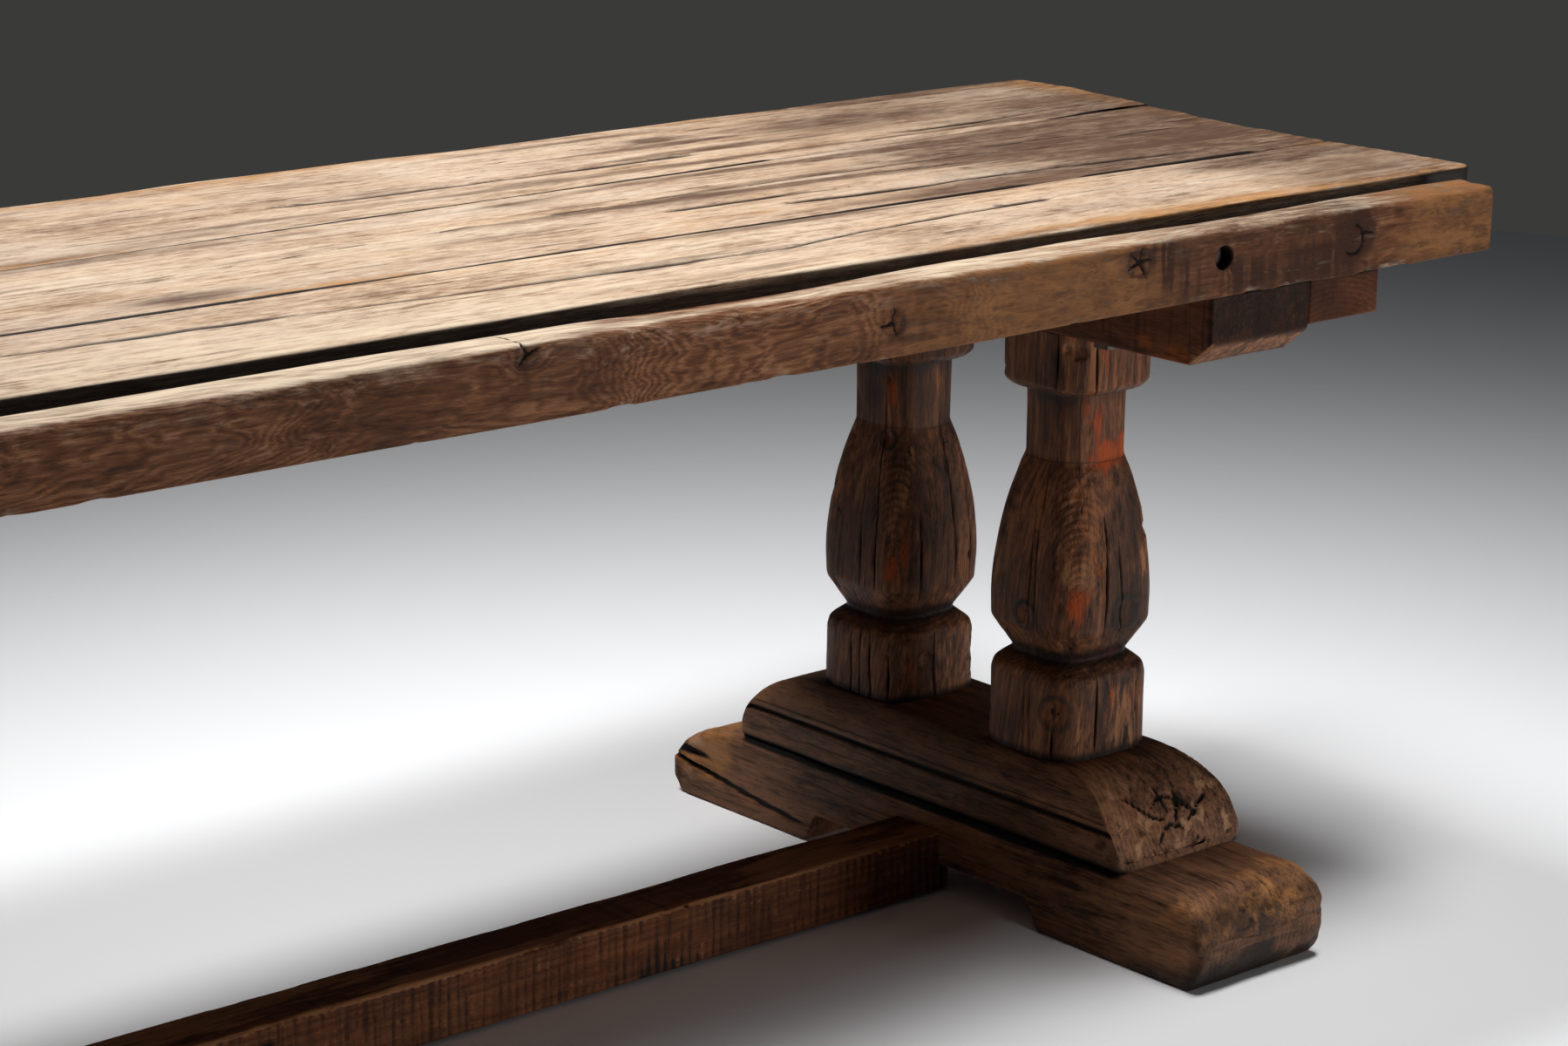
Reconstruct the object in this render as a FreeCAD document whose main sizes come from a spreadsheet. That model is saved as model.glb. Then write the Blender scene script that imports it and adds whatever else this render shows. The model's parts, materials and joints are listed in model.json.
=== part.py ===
import FreeCAD, Part
import math
import os
import re
import Sketcher

# A heavy oak refectory table: a three-plank top with a separate edge beam, carried by two trestles.
# X runs along the table, Y from the near side to the far side, Z up from the floor, in millimetres.
# Each trestle has a lower and an upper foot, two faceted baluster legs, a bearer and a batten.

Vector = FreeCAD.Vector
doc = FreeCAD.newDocument("refectory_table")
sheet = doc.addObject("Spreadsheet::Sheet", "Sizes")

SIZES = [
    ("table_height", 780, "floor to the top of the planks"),
    ("top_length", 3000, "longest plank, end to end"),
    ("top_front", 391, "middle line of the trestles to the front of the edge beam"),
    ("top_back_right", 414, "middle line of the trestles to the back of the top, at its right end"),
    ("top_back_left", 384, "middle line of the trestles to the back of the top, at its left end"),
    ("plank_thickness", 74, "thickness of the three planks"),
    ("plank_edge_radius", 6, "worn radius along the outer top arrises"),
    ("plank_corner_radius", 18, "radius of the planks' outer corners, in plan"),
    ("plank_gap", 3, "open joint between two planks"),
    ("near_plank_width", 195, "width of the near plank"),
    ("middle_plank_right_width", 289, "width of the middle plank at the right end of the top"),
    ("middle_plank_left_width", 189, "width of the middle plank at the left end of the top"),
    ("near_plank_right_setback", 46, "near plank's right end, short of the longest plank"),
    ("near_plank_left_setback", 20, "near plank's left end, short of the longest plank"),
    ("middle_plank_right_setback", 54, "middle plank's right end at its near edge"),
    ("middle_plank_right_skew", 20, "how far that end runs out towards the far edge"),
    ("middle_plank_left_setback", 9, "middle plank's left end"),
    ("far_plank_right_skew", 40, "how far the far plank's right end runs out towards the back"),
    ("far_plank_square_end", 60, "square stretch of that end, next to the back corner"),
    ("edge_beam_width", 48, "edge beam, front to back"),
    ("edge_beam_drop", 4, "edge beam's top, below the planks"),
    ("edge_beam_gap", 26, "open gap between the edge beam and the near plank"),
    ("edge_beam_right_setback", 101, "edge beam's right end, short of the longest plank"),
    ("edge_beam_left_setback", 74, "edge beam's left end, short of the longest plank"),
    ("edge_beam_radius", 9, "worn radius along the edge beam's top arrises and its ends"),
    ("trestle_setback", 438, "end of the top to the middle of a trestle"),
    ("bearer_length", 760, "bearer and batten, near end to far end"),
    ("bearer_width", 140, "bearer, along the table"),
    ("bearer_height", 74, "bearer, top to bottom"),
    ("bearer_chamfer_length", 30, "chamfer under a bearer's end, along the bearer"),
    ("bearer_chamfer_height", 24, "chamfer under a bearer's end, up the end"),
    ("batten_width", 102, "batten, along the table"),
    ("batten_height", 46, "batten, top to bottom"),
    ("near_leg_place", 129, "near legs to the middle line"),
    ("far_leg_place", 134, "far legs to the middle line"),
    ("block_flat_width", 136, "leg block, across its flats"),
    ("block_diagonal_width", 166, "leg block, across its eased corners"),
    ("block_height", 90, "leg block, up to its shoulder"),
    ("waist_flat_width", 102, "waist above the block, across the flats"),
    ("waist_diagonal_width", 119, "waist above the block, across the corners"),
    ("waist_height", 102, "base of the leg to the waist"),
    ("belly_flat_width", 138, "belly, across the flats"),
    ("belly_diagonal_width", 166, "belly, across the corners"),
    ("belly_low_height", 137, "base of the leg to the start of the belly"),
    ("belly_top_height", 164, "base of the leg to where the belly begins to taper"),
    ("neck_flat_width", 90, "neck, across the flats"),
    ("neck_diagonal_width", 102, "neck, across the corners"),
    ("neck_length", 72, "straight neck under the cap, top to bottom"),
    ("cap_flat_width", 128, "leg cap, across the flats"),
    ("cap_diagonal_width", 151, "leg cap, across the corners"),
    ("cap_height", 67, "leg cap, top to bottom"),
    ("cap_bevel", 8, "bevel round the cap's lower arris"),
    ("far_leg_drop", 14, "how much lower the far legs' shapes sit than the near legs'"),
    ("leg_tenon_width", 80, "leg tenons, along the table"),
    ("leg_tenon_thickness", 56, "leg tenons, across the table"),
    ("leg_foot_tenon", 55, "length of a leg's lower tenon"),
    ("leg_head_tenon", 50, "length of a leg's upper tenon"),
    ("wedge_length", 30, "fox wedge in a tenon's end"),
    ("wedge_thick_end", 8, "fox wedge at its thick end"),
    ("wedge_thin_end", 2, "fox wedge at its thin end"),
    ("upper_foot_length", 600, "upper foot, near end to far end"),
    ("upper_foot_width", 178, "upper foot, along the table"),
    ("upper_foot_top_width", 140, "flat top of the upper foot, along the table"),
    ("upper_foot_height", 86, "upper foot, top to bottom"),
    ("upper_foot_end_run", 106, "rounded stretch at each of the upper foot's ends, along the foot"),
    ("upper_foot_lip", 10, "upright lip below that rounding"),
    ("groove_height", 38, "groove along the upper foot, above its underside"),
    ("groove_width", 6, "mouth of that groove"),
    ("groove_depth", 4, "depth of that groove"),
    ("lower_foot_length", 840, "lower foot, nose to nose"),
    ("lower_foot_width", 184, "lower foot, along the table"),
    ("lower_foot_height", 95, "lower foot, top to bottom"),
    ("lower_foot_arris_radius", 13, "radius along the lower foot's top arrises"),
    ("nose_corner_radius", 14, "radius of the lower foot's corners, in plan"),
    ("nose_height", 45, "floor to the tip of the lower foot's noses"),
    ("near_nose_run", 50, "rounded top of the near nose, along the foot"),
    ("far_nose_run", 120, "rounded top of the far nose, worn longer, along the foot"),
    ("toe_undercut", 20, "how far a nose overhangs its floor pad"),
    ("relief_length", 373, "relief under the lower foot, pad to pad"),
    ("relief_height", 33, "height of that relief"),
    ("relief_slope", 22, "run of the relief's sloped ends"),
    ("stretcher_width", 71, "stretcher, across the table"),
    ("stretcher_height", 66, "stretcher, top to bottom"),
    ("stretcher_clearance", 4, "floor to the stretcher's underside"),
    ("stretcher_arris_radius", 4, "worn radius along the stretcher's arrises"),
    ("stretcher_tenon_width", 40, "stretcher tenon, across the table"),
    ("stretcher_tenon_height", 24, "stretcher tenon, top to bottom"),
    ("stretcher_tenon_shoulder", 4, "shoulder above the stretcher's tenon"),
    ("stretcher_tenon_length", 110, "length of a stretcher tenon"),
    ("stretcher_peg_radius", 6, "peg through a stretcher tenon"),
    ("stretcher_peg_inset", 40, "peg to the lower foot's inner face"),
    ("stretcher_peg_bite", 4, "how far the peg runs on below the tenon"),
    ("joint_tongue_length", 70, "loose tongues between the planks, along the joint"),
    ("joint_tongue_width", 110, "loose tongues between the planks, across the joint"),
    ("joint_tongue_thickness", 18, "loose tongues between the planks, top to bottom"),
    ("joint_tongue_spacing", 600, "tongue to tongue along the joint"),
    ("foot_tongue_length", 60, "loose tongues between the two feet, along the feet"),
    ("foot_tongue_height", 96, "loose tongues between the two feet, top to bottom"),
    ("foot_tongue_thickness", 22, "loose tongues between the two feet, along the table"),
    ("foot_tongue_spacing", 410, "tongue to tongue along the feet"),
    ("tongue_end_room", 2, "room past each end of a tongue in its mortise"),
    ("spike_width", 10, "square spike under its head"),
    ("spike_tip_width", 5, "square spike at its blunt tip"),
    ("spike_head_width", 19, "square head of a spike, across its flats"),
    ("spike_head_height", 6, "head of a spike"),
    ("spike_bite", 45, "how far a spike runs into a plank from below"),
    ("spike_row_spacing", 104, "row of spikes to the other row under a bearer"),
    ("near_spike_place", 222, "near spikes to the middle line of the table"),
    ("far_spike_place", 290, "far spikes to the middle line of the table"),
    ("bolt_radius", 5, "shank of the edge beam's bolts"),
    ("bolt_head_width", 17, "square head of those bolts, across its flats"),
    ("bolt_head_height", 7, "head of those bolts"),
    ("bolt_clearance", 0.2, "room round a bolt or a peg in its hole"),
    ("bolt_end_room", 2, "room past a bolt's tip in its hole"),
    ("edge_bolt_inset", 69, "edge beam's bolt, inwards of the middle of a trestle"),
    ("edge_bolt_height", 39, "edge beam's bolt, above the planks' underside"),
    ("edge_bolt_bite", 80, "how far that bolt runs into the near plank"),
    ("counterbore_radius", 12.5, "counterbore in the edge beam's front"),
    ("counterbore_depth", 22, "depth of that counterbore"),
    ("washer_radius", 12, "washer in the counterbore"),
    ("washer_thickness", 2.5, "washer in the counterbore"),
]

for row, (alias, size, meaning) in enumerate(SIZES, start=1):
    sheet.set(f"A{row}", meaning)
    sheet.set(f"B{row}", str(size))
    sheet.setAlias(f"B{row}", alias)
doc.recompute()
ALIASES = {alias for alias, size, meaning in SIZES}

# Heights and places that several pieces share, as formulas of the sizes.
PLANK_UNDERSIDE = "(table_height - plank_thickness)"
BEARER_UNDERSIDE = f"({PLANK_UNDERSIDE} - bearer_height)"
LEG_BASE = "(lower_foot_height + upper_foot_height)"
LEG_LENGTH = f"({BEARER_UNDERSIDE} - {LEG_BASE})"
TRESTLE_PLACE = "(top_length / 2 - trestle_setback)"
NEAR_PLANK_FRONT = "(edge_beam_width + edge_beam_gap - top_front)"
NEAR_JOINT = f"({NEAR_PLANK_FRONT} + near_plank_width)"
MIDDLE_FRONT = f"({NEAR_JOINT} + plank_gap)"
JOINT_SLOPE = "((middle_plank_right_width - middle_plank_left_width) / top_length)"
JOINT_MIDDLE = f"({MIDDLE_FRONT} + (middle_plank_right_width + middle_plank_left_width) / 2)"

ALONG_Y = FreeCAD.Rotation(Vector(1, 0, 0), -90)
POINT_UP = FreeCAD.Rotation(Vector(1, 0, 0), 90)
POINT_DOWN = FreeCAD.Rotation(Vector(1, 0, 0), -90)
UPWARDS = FreeCAD.Rotation()
SIDES = {"right": "1", "left": "-1"}
ROWS = {"near": "-1", "far": "1"}
PLANK_SIDES = ("near", "far")
CLOSE = 0.01  # two faces this near are at the same place


def formula(text):
    """The text with every size in it pointed at the sheet."""
    return re.sub(r"[a-z_]+", lambda word: f"Sizes.{word[0]}" if word[0] in ALIASES else word[0], str(text))


def number(text):
    """What a formula comes to with the sheet's present sizes."""
    return float(sheet.evalExpression(formula(text)))


def bind(item, **formulas):
    """Ties properties of an object to formulas of the sheet's sizes."""
    for name, text in formulas.items():
        item.setExpression(name, formula(text))


def place(item, x="0", y="0", z="0", rotation=UPWARDS):
    """Sets an object's rotation and ties its position to formulas."""
    item.Placement = FreeCAD.Placement(Vector(), rotation)
    for axis, text in zip("xyz", (x, y, z)):
        item.setExpression(f"Placement.Base.{axis}", formula(text))
    return item


def line(x, y):
    """An outline's corner that a straight edge leaves."""
    return x, y, None, 0


def arc(x, y, radius, turn=1):
    """An outline's corner that an arc leaves, turning left (1) or right (-1)."""
    return x, y, radius, turn


def arc_edge(start, end, radius, turn):
    """The shorter arc between two points, and which of its ends comes first."""
    chord = end - start
    normal = Vector(-chord.y, chord.x, 0) * turn / chord.Length
    rise = math.sqrt(max(radius ** 2 - (chord.Length / 2) ** 2, 0))
    centre = (start + end) * 0.5 + normal * rise
    first, last = (start, end) if turn > 0 else (end, start)
    angles = [math.atan2(point.y - centre.y, point.x - centre.x) for point in (first, last)]
    circle = Part.Circle(centre, Vector(0, 0, 1), radius)
    return Part.ArcOfCircle(circle, *angles), (1, 2) if turn > 0 else (2, 1)


def outline(sketch, corners):
    """Draws a closed outline in a sketch and ties each corner and each radius to its formula."""
    points = [Vector(number(x), number(y), 0) for x, y, radius, turn in corners]
    ends = []
    for index, (x, y, radius, turn) in enumerate(corners):
        start, end = points[index], points[(index + 1) % len(points)]
        edge, order = Part.LineSegment(start, end), (1, 2)
        if radius:
            edge, order = arc_edge(start, end, number(radius), turn)
        sketch.addGeometry(edge, False)
        ends.append(order)
    for index, (first, last) in enumerate(ends):
        following = (index + 1) % len(ends)
        sketch.addConstraint(Sketcher.Constraint("Coincident", index, last, following, ends[following][0]))
    for index, (x, y, radius, turn) in enumerate(corners):
        first = ends[index][0]
        for kind, text, at in (("DistanceX", x, points[index].x), ("DistanceY", y, points[index].y)):
            made = sketch.addConstraint(Sketcher.Constraint(kind, -1, 1, index, first, at))
            sketch.renameConstraint(made, f"{kind}{index}")
            sketch.setExpression(f"Constraints.{kind}{index}", formula(text))
        if radius:
            made = sketch.addConstraint(Sketcher.Constraint("Radius", index, number(radius)))
            sketch.renameConstraint(made, f"Radius{index}")
            sketch.setExpression(f"Constraints.Radius{index}", formula(radius))


def round_off(run, fall):
    """The radius of an arc that leaves a flat face smoothly and falls so far over so long a run."""
    return f"(({run}) ^ 2 + ({fall}) ^ 2) / (2 * ({fall}))"


def mirrored(half):
    """A whole outline from its right half, listed upwards, with the left half added downwards."""
    corners = list(half)
    for index in range(len(half) - 1, -1, -1):
        x, y = half[index][:2]
        radius, turn = half[index - 1][2:] if index else (None, 0)
        corners.append((f"-({x})", y, radius, turn))
    return corners


def padded(name, role, corners, length, both_ways=True):
    """A body with one outline on an origin plane, padded to a length."""
    body = doc.addObject("PartDesign::Body", name)
    sketch = body.newObject("Sketcher::SketchObject", f"{name}_outline")
    plane = next(item for item in body.Origin.OriginFeatures if item.Role == role)
    sketch.AttachmentSupport = (plane, [""])
    sketch.MapMode = "FlatFace"
    outline(sketch, corners)
    pad = body.newObject("PartDesign::Pad", f"{name}_pad")
    pad.Profile = sketch
    pad.SideType = "Symmetric" if both_ways else "One side"
    bind(pad, Length=length)
    doc.recompute()
    return body


def rounded(body, radius, chosen):
    """Fillets the edges of a body's last feature whose middle and direction the test accepts."""
    base = body.Tip
    names = []
    for index, edge in enumerate(base.Shape.Edges, start=1):
        run = edge.Vertexes[-1].Point - edge.Vertexes[0].Point
        if chosen(edge.CenterOfMass, run):
            names.append(f"Edge{index}")
    fillet = body.newObject("PartDesign::Fillet", f"{body.Name}_round_{len(body.Group)}")
    fillet.Base = (base, names)
    bind(fillet, Radius=radius)
    doc.recompute()


def rod(name, radius, length, rotation=UPWARDS, **where):
    """A round rod that starts at a place and runs along its axis."""
    cylinder = doc.addObject("Part::Cylinder", name)
    bind(cylinder, Radius=radius, Height=length)
    return place(cylinder, rotation=rotation, **where)


def block(name, length, width, height, x, y, z):
    """A box whose footprint is centred on a place and which rises from it."""
    box = doc.addObject("Part::Box", name)
    bind(box, Length=length, Width=width, Height=height)
    return place(box, f"{x} - ({length}) / 2", f"{y} - ({width}) / 2", z)


def joined(name, items):
    """One solid made of several that meet."""
    fusion = doc.addObject("Part::MultiFuse", name)
    fusion.Shapes = items
    return fusion


def shared(name, items):
    """The solid that several have in common."""
    common = doc.addObject("Part::MultiCommon", name)
    common.Shapes = items
    return common


def group(name, items):
    """Separate solids kept together as one node."""
    compound = doc.addObject("Part::Compound", name)
    compound.Links = items
    return compound


def cut(name, base, tools):
    """A solid with mortises and holes taken out of it."""
    result = doc.addObject("Part::Cut", name)
    result.Base = base
    result.Tool = tools[0] if len(tools) == 1 else joined(f"{name}_tools", tools)
    return result


def taper(name, widths, depths, length, x, y, z, rotation):
    """A four-sided taper from its thick end at a place, its width and its depth each given at both ends."""
    wedge = doc.addObject("Part::Wedge", name)
    thick_width, thin_width = widths
    thick_depth, thin_depth = depths
    bind(wedge, Ymin="0", Ymax=length,
         Xmin=f"-{thick_width} / 2", Xmax=f"{thick_width} / 2",
         X2min=f"-{thin_width} / 2", X2max=f"{thin_width} / 2",
         Zmin=f"-{thick_depth} / 2", Zmax=f"{thick_depth} / 2",
         Z2min=f"-{thin_depth} / 2", Z2max=f"{thin_depth} / 2")
    return place(wedge, x, y, z, rotation)


def spike(name, grip, x, y, underside):
    """A square spike driven up through a cross piece into a plank, and the shank that makes its hole."""
    head = block(f"{name}_head", "spike_head_width", "spike_head_width", "spike_head_height",
                 x, y, f"{underside} - spike_head_height")
    widths = ("spike_width", "spike_tip_width")
    shank = taper(f"{name}_shank", widths, widths, f"{grip} + spike_bite", x, y, underside, POINT_UP)
    return joined(name, [head, shank]), shank


def tongue(name, sizes, deep, x, y, z):
    """A loose tongue centred on a place, and its mortise, which runs on past it along one axis."""
    made = []
    for kind, room in (("", "0"), ("_mortise", "2 * tongue_end_room")):
        length, width, height = (
            f"({size} + {room})" if axis == deep else size for axis, size in sizes.items())
        made.append(block(f"{name}{kind}", length, width, height, x, y, f"{z} - {height} / 2"))
    return made


def joint_at(x):
    """Where the joint between the middle and far planks lies at a place along the table."""
    return f"({JOINT_MIDDLE} + {JOINT_SLOPE} * ({x}))"


def plank(name, corners, thickness, joints, corner_round, edge_round):
    """A plank from its plan, its corners and top arrises rounded except along the sides that are joints."""
    body = padded(name, "XY_Plane", [line(x, y) for x, y in corners], thickness, both_ways=False)
    place(body, z=PLANK_UNDERSIDE)
    top, half_length = number(thickness), number("top_length / 2")
    centre = body.Shape.BoundBox.Center.y

    def along_joint(middle):
        return PLANK_SIDES[int(middle.y > centre)] in joints

    if len(joints) < len(PLANK_SIDES):
        rounded(body, corner_round, lambda middle, run: abs(run.z) > top / 2 and not along_joint(middle))
    rounded(body, edge_round, lambda middle, run: middle.z > top - CLOSE and not (
        abs(run.x) > half_length and along_joint(middle)))
    return body


def leg_profile(name, across, drop, turn):
    """One pair of a leg's faces: its side view, sawn right through and turned about the leg's axis.

    The taper from belly to neck is one arc, upright at the belly; it meets the neck in an arris.
    """
    belly, neck = f"belly_{across}_width / 2", f"neck_{across}_width / 2"
    cap_low = f"({LEG_LENGTH} - cap_height - {drop})"
    belly_top, neck_low = f"(belly_top_height - {drop})", f"({cap_low} - neck_length)"
    sweep = round_off(f"{neck_low} - {belly_top}", f"{belly} - {neck}")
    half = [
        line(f"block_{across}_width / 2", "0"),
        line(f"block_{across}_width / 2", f"block_height - {drop}"),
        line(f"waist_{across}_width / 2", f"waist_height - {drop}"),
        line(belly, f"belly_low_height - {drop}"),
        arc(belly, belly_top, sweep),
        line(neck, neck_low),
        line(neck, cap_low),
        line(f"cap_{across}_width / 2 - cap_bevel", cap_low),
        line(f"cap_{across}_width / 2", f"{cap_low} + cap_bevel"),
        line(f"cap_{across}_width / 2", LEG_LENGTH),
    ]
    body = padded(name, "XZ_Plane", mirrored(half), "block_diagonal_width + belly_diagonal_width")
    return body, FreeCAD.Rotation(Vector(0, 0, 1), turn)


def leg(name, x, y, drop):
    """A baluster leg: square and corner faces in common, a tenon at each end and a wedge in each tenon."""
    faces = []
    for across, turns in (("flat", (0, 90)), ("diagonal", (45, 135))):
        for turn in turns:
            body, rotation = leg_profile(f"{name}_{across}_{turn}", across, drop, turn)
            faces.append(place(body, x, y, LEG_BASE, rotation))
    baluster = shared(f"{name}_baluster", faces)
    tenons = {}
    wedges = []
    foot_tip = f"({LEG_BASE} - leg_foot_tenon)"
    head_tip = f"({BEARER_UNDERSIDE} + leg_head_tenon)"
    for end, length, base, tip, pointing in (
            ("foot", "leg_foot_tenon", foot_tip, foot_tip, POINT_UP),
            ("head", "leg_head_tenon", BEARER_UNDERSIDE, head_tip, POINT_DOWN)):
        tenons[end] = block(f"{name}_{end}_tenon", "leg_tenon_width", "leg_tenon_thickness", length,
                            x, y, base)
        wedges.append(taper(f"{name}_{end}_wedge", ("leg_tenon_width", "leg_tenon_width"),
                            ("wedge_thick_end", "wedge_thin_end"), "wedge_length", x, y, tip, pointing))
    whole = joined(f"{name}_whole", [baluster, tenons["foot"], tenons["head"]])
    return cut(name, whole, wedges), tenons, wedges


def lower_foot(name, x):
    """The sledge foot: its section, its side view with noses and a relief, and its plan, in common."""
    tip, toe = "lower_foot_length / 2", "lower_foot_length / 2 - toe_undercut"
    side, corner = "lower_foot_width / 2", "nose_corner_radius"
    toe_radius = round_off("nose_height", "toe_undercut")
    nose_fall = "lower_foot_height - nose_height"
    side_view = padded(f"{name}_side_view", "YZ_Plane", [
        line("relief_length / 2 - relief_slope", "relief_height"),
        line("relief_length / 2", "0"),
        arc(toe, "0", toe_radius),
        arc(tip, "nose_height", round_off("far_nose_run", nose_fall)),
        line(f"{tip} - far_nose_run", "lower_foot_height"),
        arc(f"near_nose_run - {tip}", "lower_foot_height", round_off("near_nose_run", nose_fall)),
        arc(f"-{tip}", "nose_height", toe_radius),
        line(f"-({toe})", "0"),
        line("-relief_length / 2", "0"),
        line("relief_slope - relief_length / 2", "relief_height"),
    ], "lower_foot_width")
    section = padded(f"{name}_section", "XZ_Plane", mirrored([
        line(side, "0"),
        arc(side, "lower_foot_height - lower_foot_arris_radius", "lower_foot_arris_radius"),
        line(f"{side} - lower_foot_arris_radius", "lower_foot_height"),
    ]), "lower_foot_length")
    plan = padded(f"{name}_plan", "XY_Plane", mirrored([
        arc(f"{side} - {corner}", f"-{tip}", corner),
        line(side, f"{corner} - {tip}"),
        arc(side, f"{tip} - {corner}", corner),
        line(f"{side} - {corner}", tip),
    ]), "lower_foot_height", both_ways=False)
    for view in (side_view, section, plan):
        place(view, x=x)
    return shared(f"{name}_form", [side_view, section, plan])


def upper_foot(name, x):
    """The upper foot: its grooved and shouldered section along Y, shared with its round-ended side view."""
    fall = "((upper_foot_width - upper_foot_top_width) / 2)"
    rise = "(upper_foot_height - groove_height - groove_width / 2)"
    section = padded(f"{name}_section", "XZ_Plane", mirrored([
        line("upper_foot_width / 2", "0"),
        line("upper_foot_width / 2", "groove_height - groove_width / 2"),
        line("upper_foot_width / 2 - groove_depth", "groove_height"),
        arc("upper_foot_width / 2", "groove_height + groove_width / 2", round_off(rise, fall)),
        line("upper_foot_top_width / 2", "upper_foot_height"),
    ]), "upper_foot_length")
    side_view = padded(f"{name}_side_view", "YZ_Plane", mirrored([
        line("upper_foot_length / 2", "0"),
        arc("upper_foot_length / 2", "upper_foot_lip",
            round_off("upper_foot_end_run", "upper_foot_height - upper_foot_lip")),
        line("upper_foot_length / 2 - upper_foot_end_run", "upper_foot_height"),
    ]), "2 * upper_foot_width")
    for body in (section, side_view):
        place(body, x=x, z="lower_foot_height")
    return shared(f"{name}_form", [section, side_view])


nodes = {}
holes = {name: [] for name in ("edge_beam", "near_plank", "middle_plank", "far_plank")}

# The stretcher between the lower feet, with a tenon and its peg at each end.
FOOT_INNER_FACE = f"({TRESTLE_PLACE} - lower_foot_width / 2)"
TENON_LOW = ("(stretcher_clearance + stretcher_height - stretcher_tenon_shoulder"
             " - stretcher_tenon_height)")
PEG_LOW = f"({TENON_LOW} - stretcher_peg_bite)"
rail = padded("stretcher_rail", "YZ_Plane", mirrored([
    line("stretcher_width / 2", "0"),
    line("stretcher_width / 2", "stretcher_height"),
]), f"2 * {FOOT_INNER_FACE}")
rounded(rail, "stretcher_arris_radius", lambda middle, run: abs(run.x) > abs(run.y) + abs(run.z))
place(rail, z="stretcher_clearance")
rail_parts, rail_tenons, pegs, peg_holes = [rail], {}, [], {}
for side, sign in SIDES.items():
    rail_tenons[side] = block(
        f"{side}_stretcher_tenon",
        "stretcher_tenon_length", "stretcher_tenon_width", "stretcher_tenon_height",
        f"{sign} * ({FOOT_INNER_FACE} + stretcher_tenon_length / 2)", "0", TENON_LOW)
    rail_parts.append(rail_tenons[side])
    peg_place = {"x": f"{sign} * ({FOOT_INNER_FACE} + stretcher_peg_inset)", "z": PEG_LOW}
    peg_length = f"lower_foot_height - {PEG_LOW}"
    pegs.append(rod(f"{side}_stretcher_peg", "stretcher_peg_radius", peg_length, **peg_place))
    peg_holes[side] = rod(f"{side}_peg_hole", "stretcher_peg_radius + bolt_clearance",
                          peg_length, **peg_place)
nodes["stretcher"] = cut("stretcher", joined("stretcher_whole", rail_parts), list(peg_holes.values()))
nodes["stretcher_pegs"] = group("stretcher_pegs", pegs)

# The two trestles.
SPIKE_PLACES = {"near_plank": "-near_spike_place", "middle_plank": "0", "far_plank": "far_spike_place"}
FOOT_TONGUE = {"x": "foot_tongue_thickness", "y": "foot_tongue_length", "z": "foot_tongue_height"}
for side, sign in SIDES.items():
    middle = f"{sign} * {TRESTLE_PLACE}"
    foot_mortises, bearer_mortises, wedges = [], [], []
    for row, way in ROWS.items():
        name = f"{side}_{row}_leg"
        drop = "far_leg_drop" if row == "far" else "0"
        nodes[name], tenons, leg_wedges = leg(name, middle, f"{way} * {row}_leg_place", drop)
        foot_mortises.append(tenons["foot"])
        bearer_mortises.append(tenons["head"])
        wedges += leg_wedges
    nodes[f"{side}_leg_wedges"] = group(f"{side}_leg_wedges", wedges)

    tongues, tongue_mortises = [], []
    for row, way in ROWS.items():
        key, mortise = tongue(f"{side}_{row}_foot_tongue", FOOT_TONGUE, "z",
                              middle, f"{way} * foot_tongue_spacing / 2", "lower_foot_height")
        tongues.append(key)
        tongue_mortises.append(mortise)
    nodes[f"{side}_foot_tongues"] = group(f"{side}_foot_tongues", tongues)
    nodes[f"{side}_upper_foot"] = cut(f"{side}_upper_foot", upper_foot(f"{side}_upper_foot", middle),
                                      foot_mortises + tongue_mortises)
    nodes[f"{side}_lower_foot"] = cut(f"{side}_lower_foot", lower_foot(f"{side}_lower_foot", middle),
                                      [rail_tenons[side], peg_holes[side]] + tongue_mortises)

    bearer = padded(f"{side}_bearer_beam", "YZ_Plane", mirrored([
        line("bearer_length / 2 - bearer_chamfer_length", "0"),
        line("bearer_length / 2", "bearer_chamfer_height"),
        line("bearer_length / 2", "bearer_height"),
    ]), "bearer_width")
    place(bearer, x=middle, z=BEARER_UNDERSIDE)
    batten_middle = f"{sign} * ({TRESTLE_PLACE} + bearer_width / 2 + batten_width / 2)"
    batten_underside = f"({PLANK_UNDERSIDE} - batten_height)"
    batten = block(f"{side}_batten_board", "batten_width", "bearer_length", "batten_height",
                   batten_middle, "0", batten_underside)
    bearer_spikes, batten_spikes, bearer_holes, batten_holes = [], [], [], []
    for held, y in SPIKE_PLACES.items():
        for place_in_row, offset in enumerate(("-spike_row_spacing / 2", "spike_row_spacing / 2"), start=1):
            made, hole = spike(f"{side}_{held}_spike_{place_in_row}", "bearer_height",
                               f"{middle} + {offset}", y, BEARER_UNDERSIDE)
            bearer_spikes.append(made)
            bearer_holes.append(hole)
            holes[held].append(hole)
        made, hole = spike(f"{side}_{held}_batten_spike", "batten_height",
                           batten_middle, y, batten_underside)
        batten_spikes.append(made)
        batten_holes.append(hole)
        holes[held].append(hole)
    nodes[f"{side}_bearer"] = cut(f"{side}_bearer", bearer, bearer_mortises + bearer_holes)
    nodes[f"{side}_batten"] = cut(f"{side}_batten", batten, batten_holes)
    nodes[f"{side}_bearer_spikes"] = group(f"{side}_bearer_spikes", bearer_spikes)
    nodes[f"{side}_batten_spikes"] = group(f"{side}_batten_spikes", batten_spikes)

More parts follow.
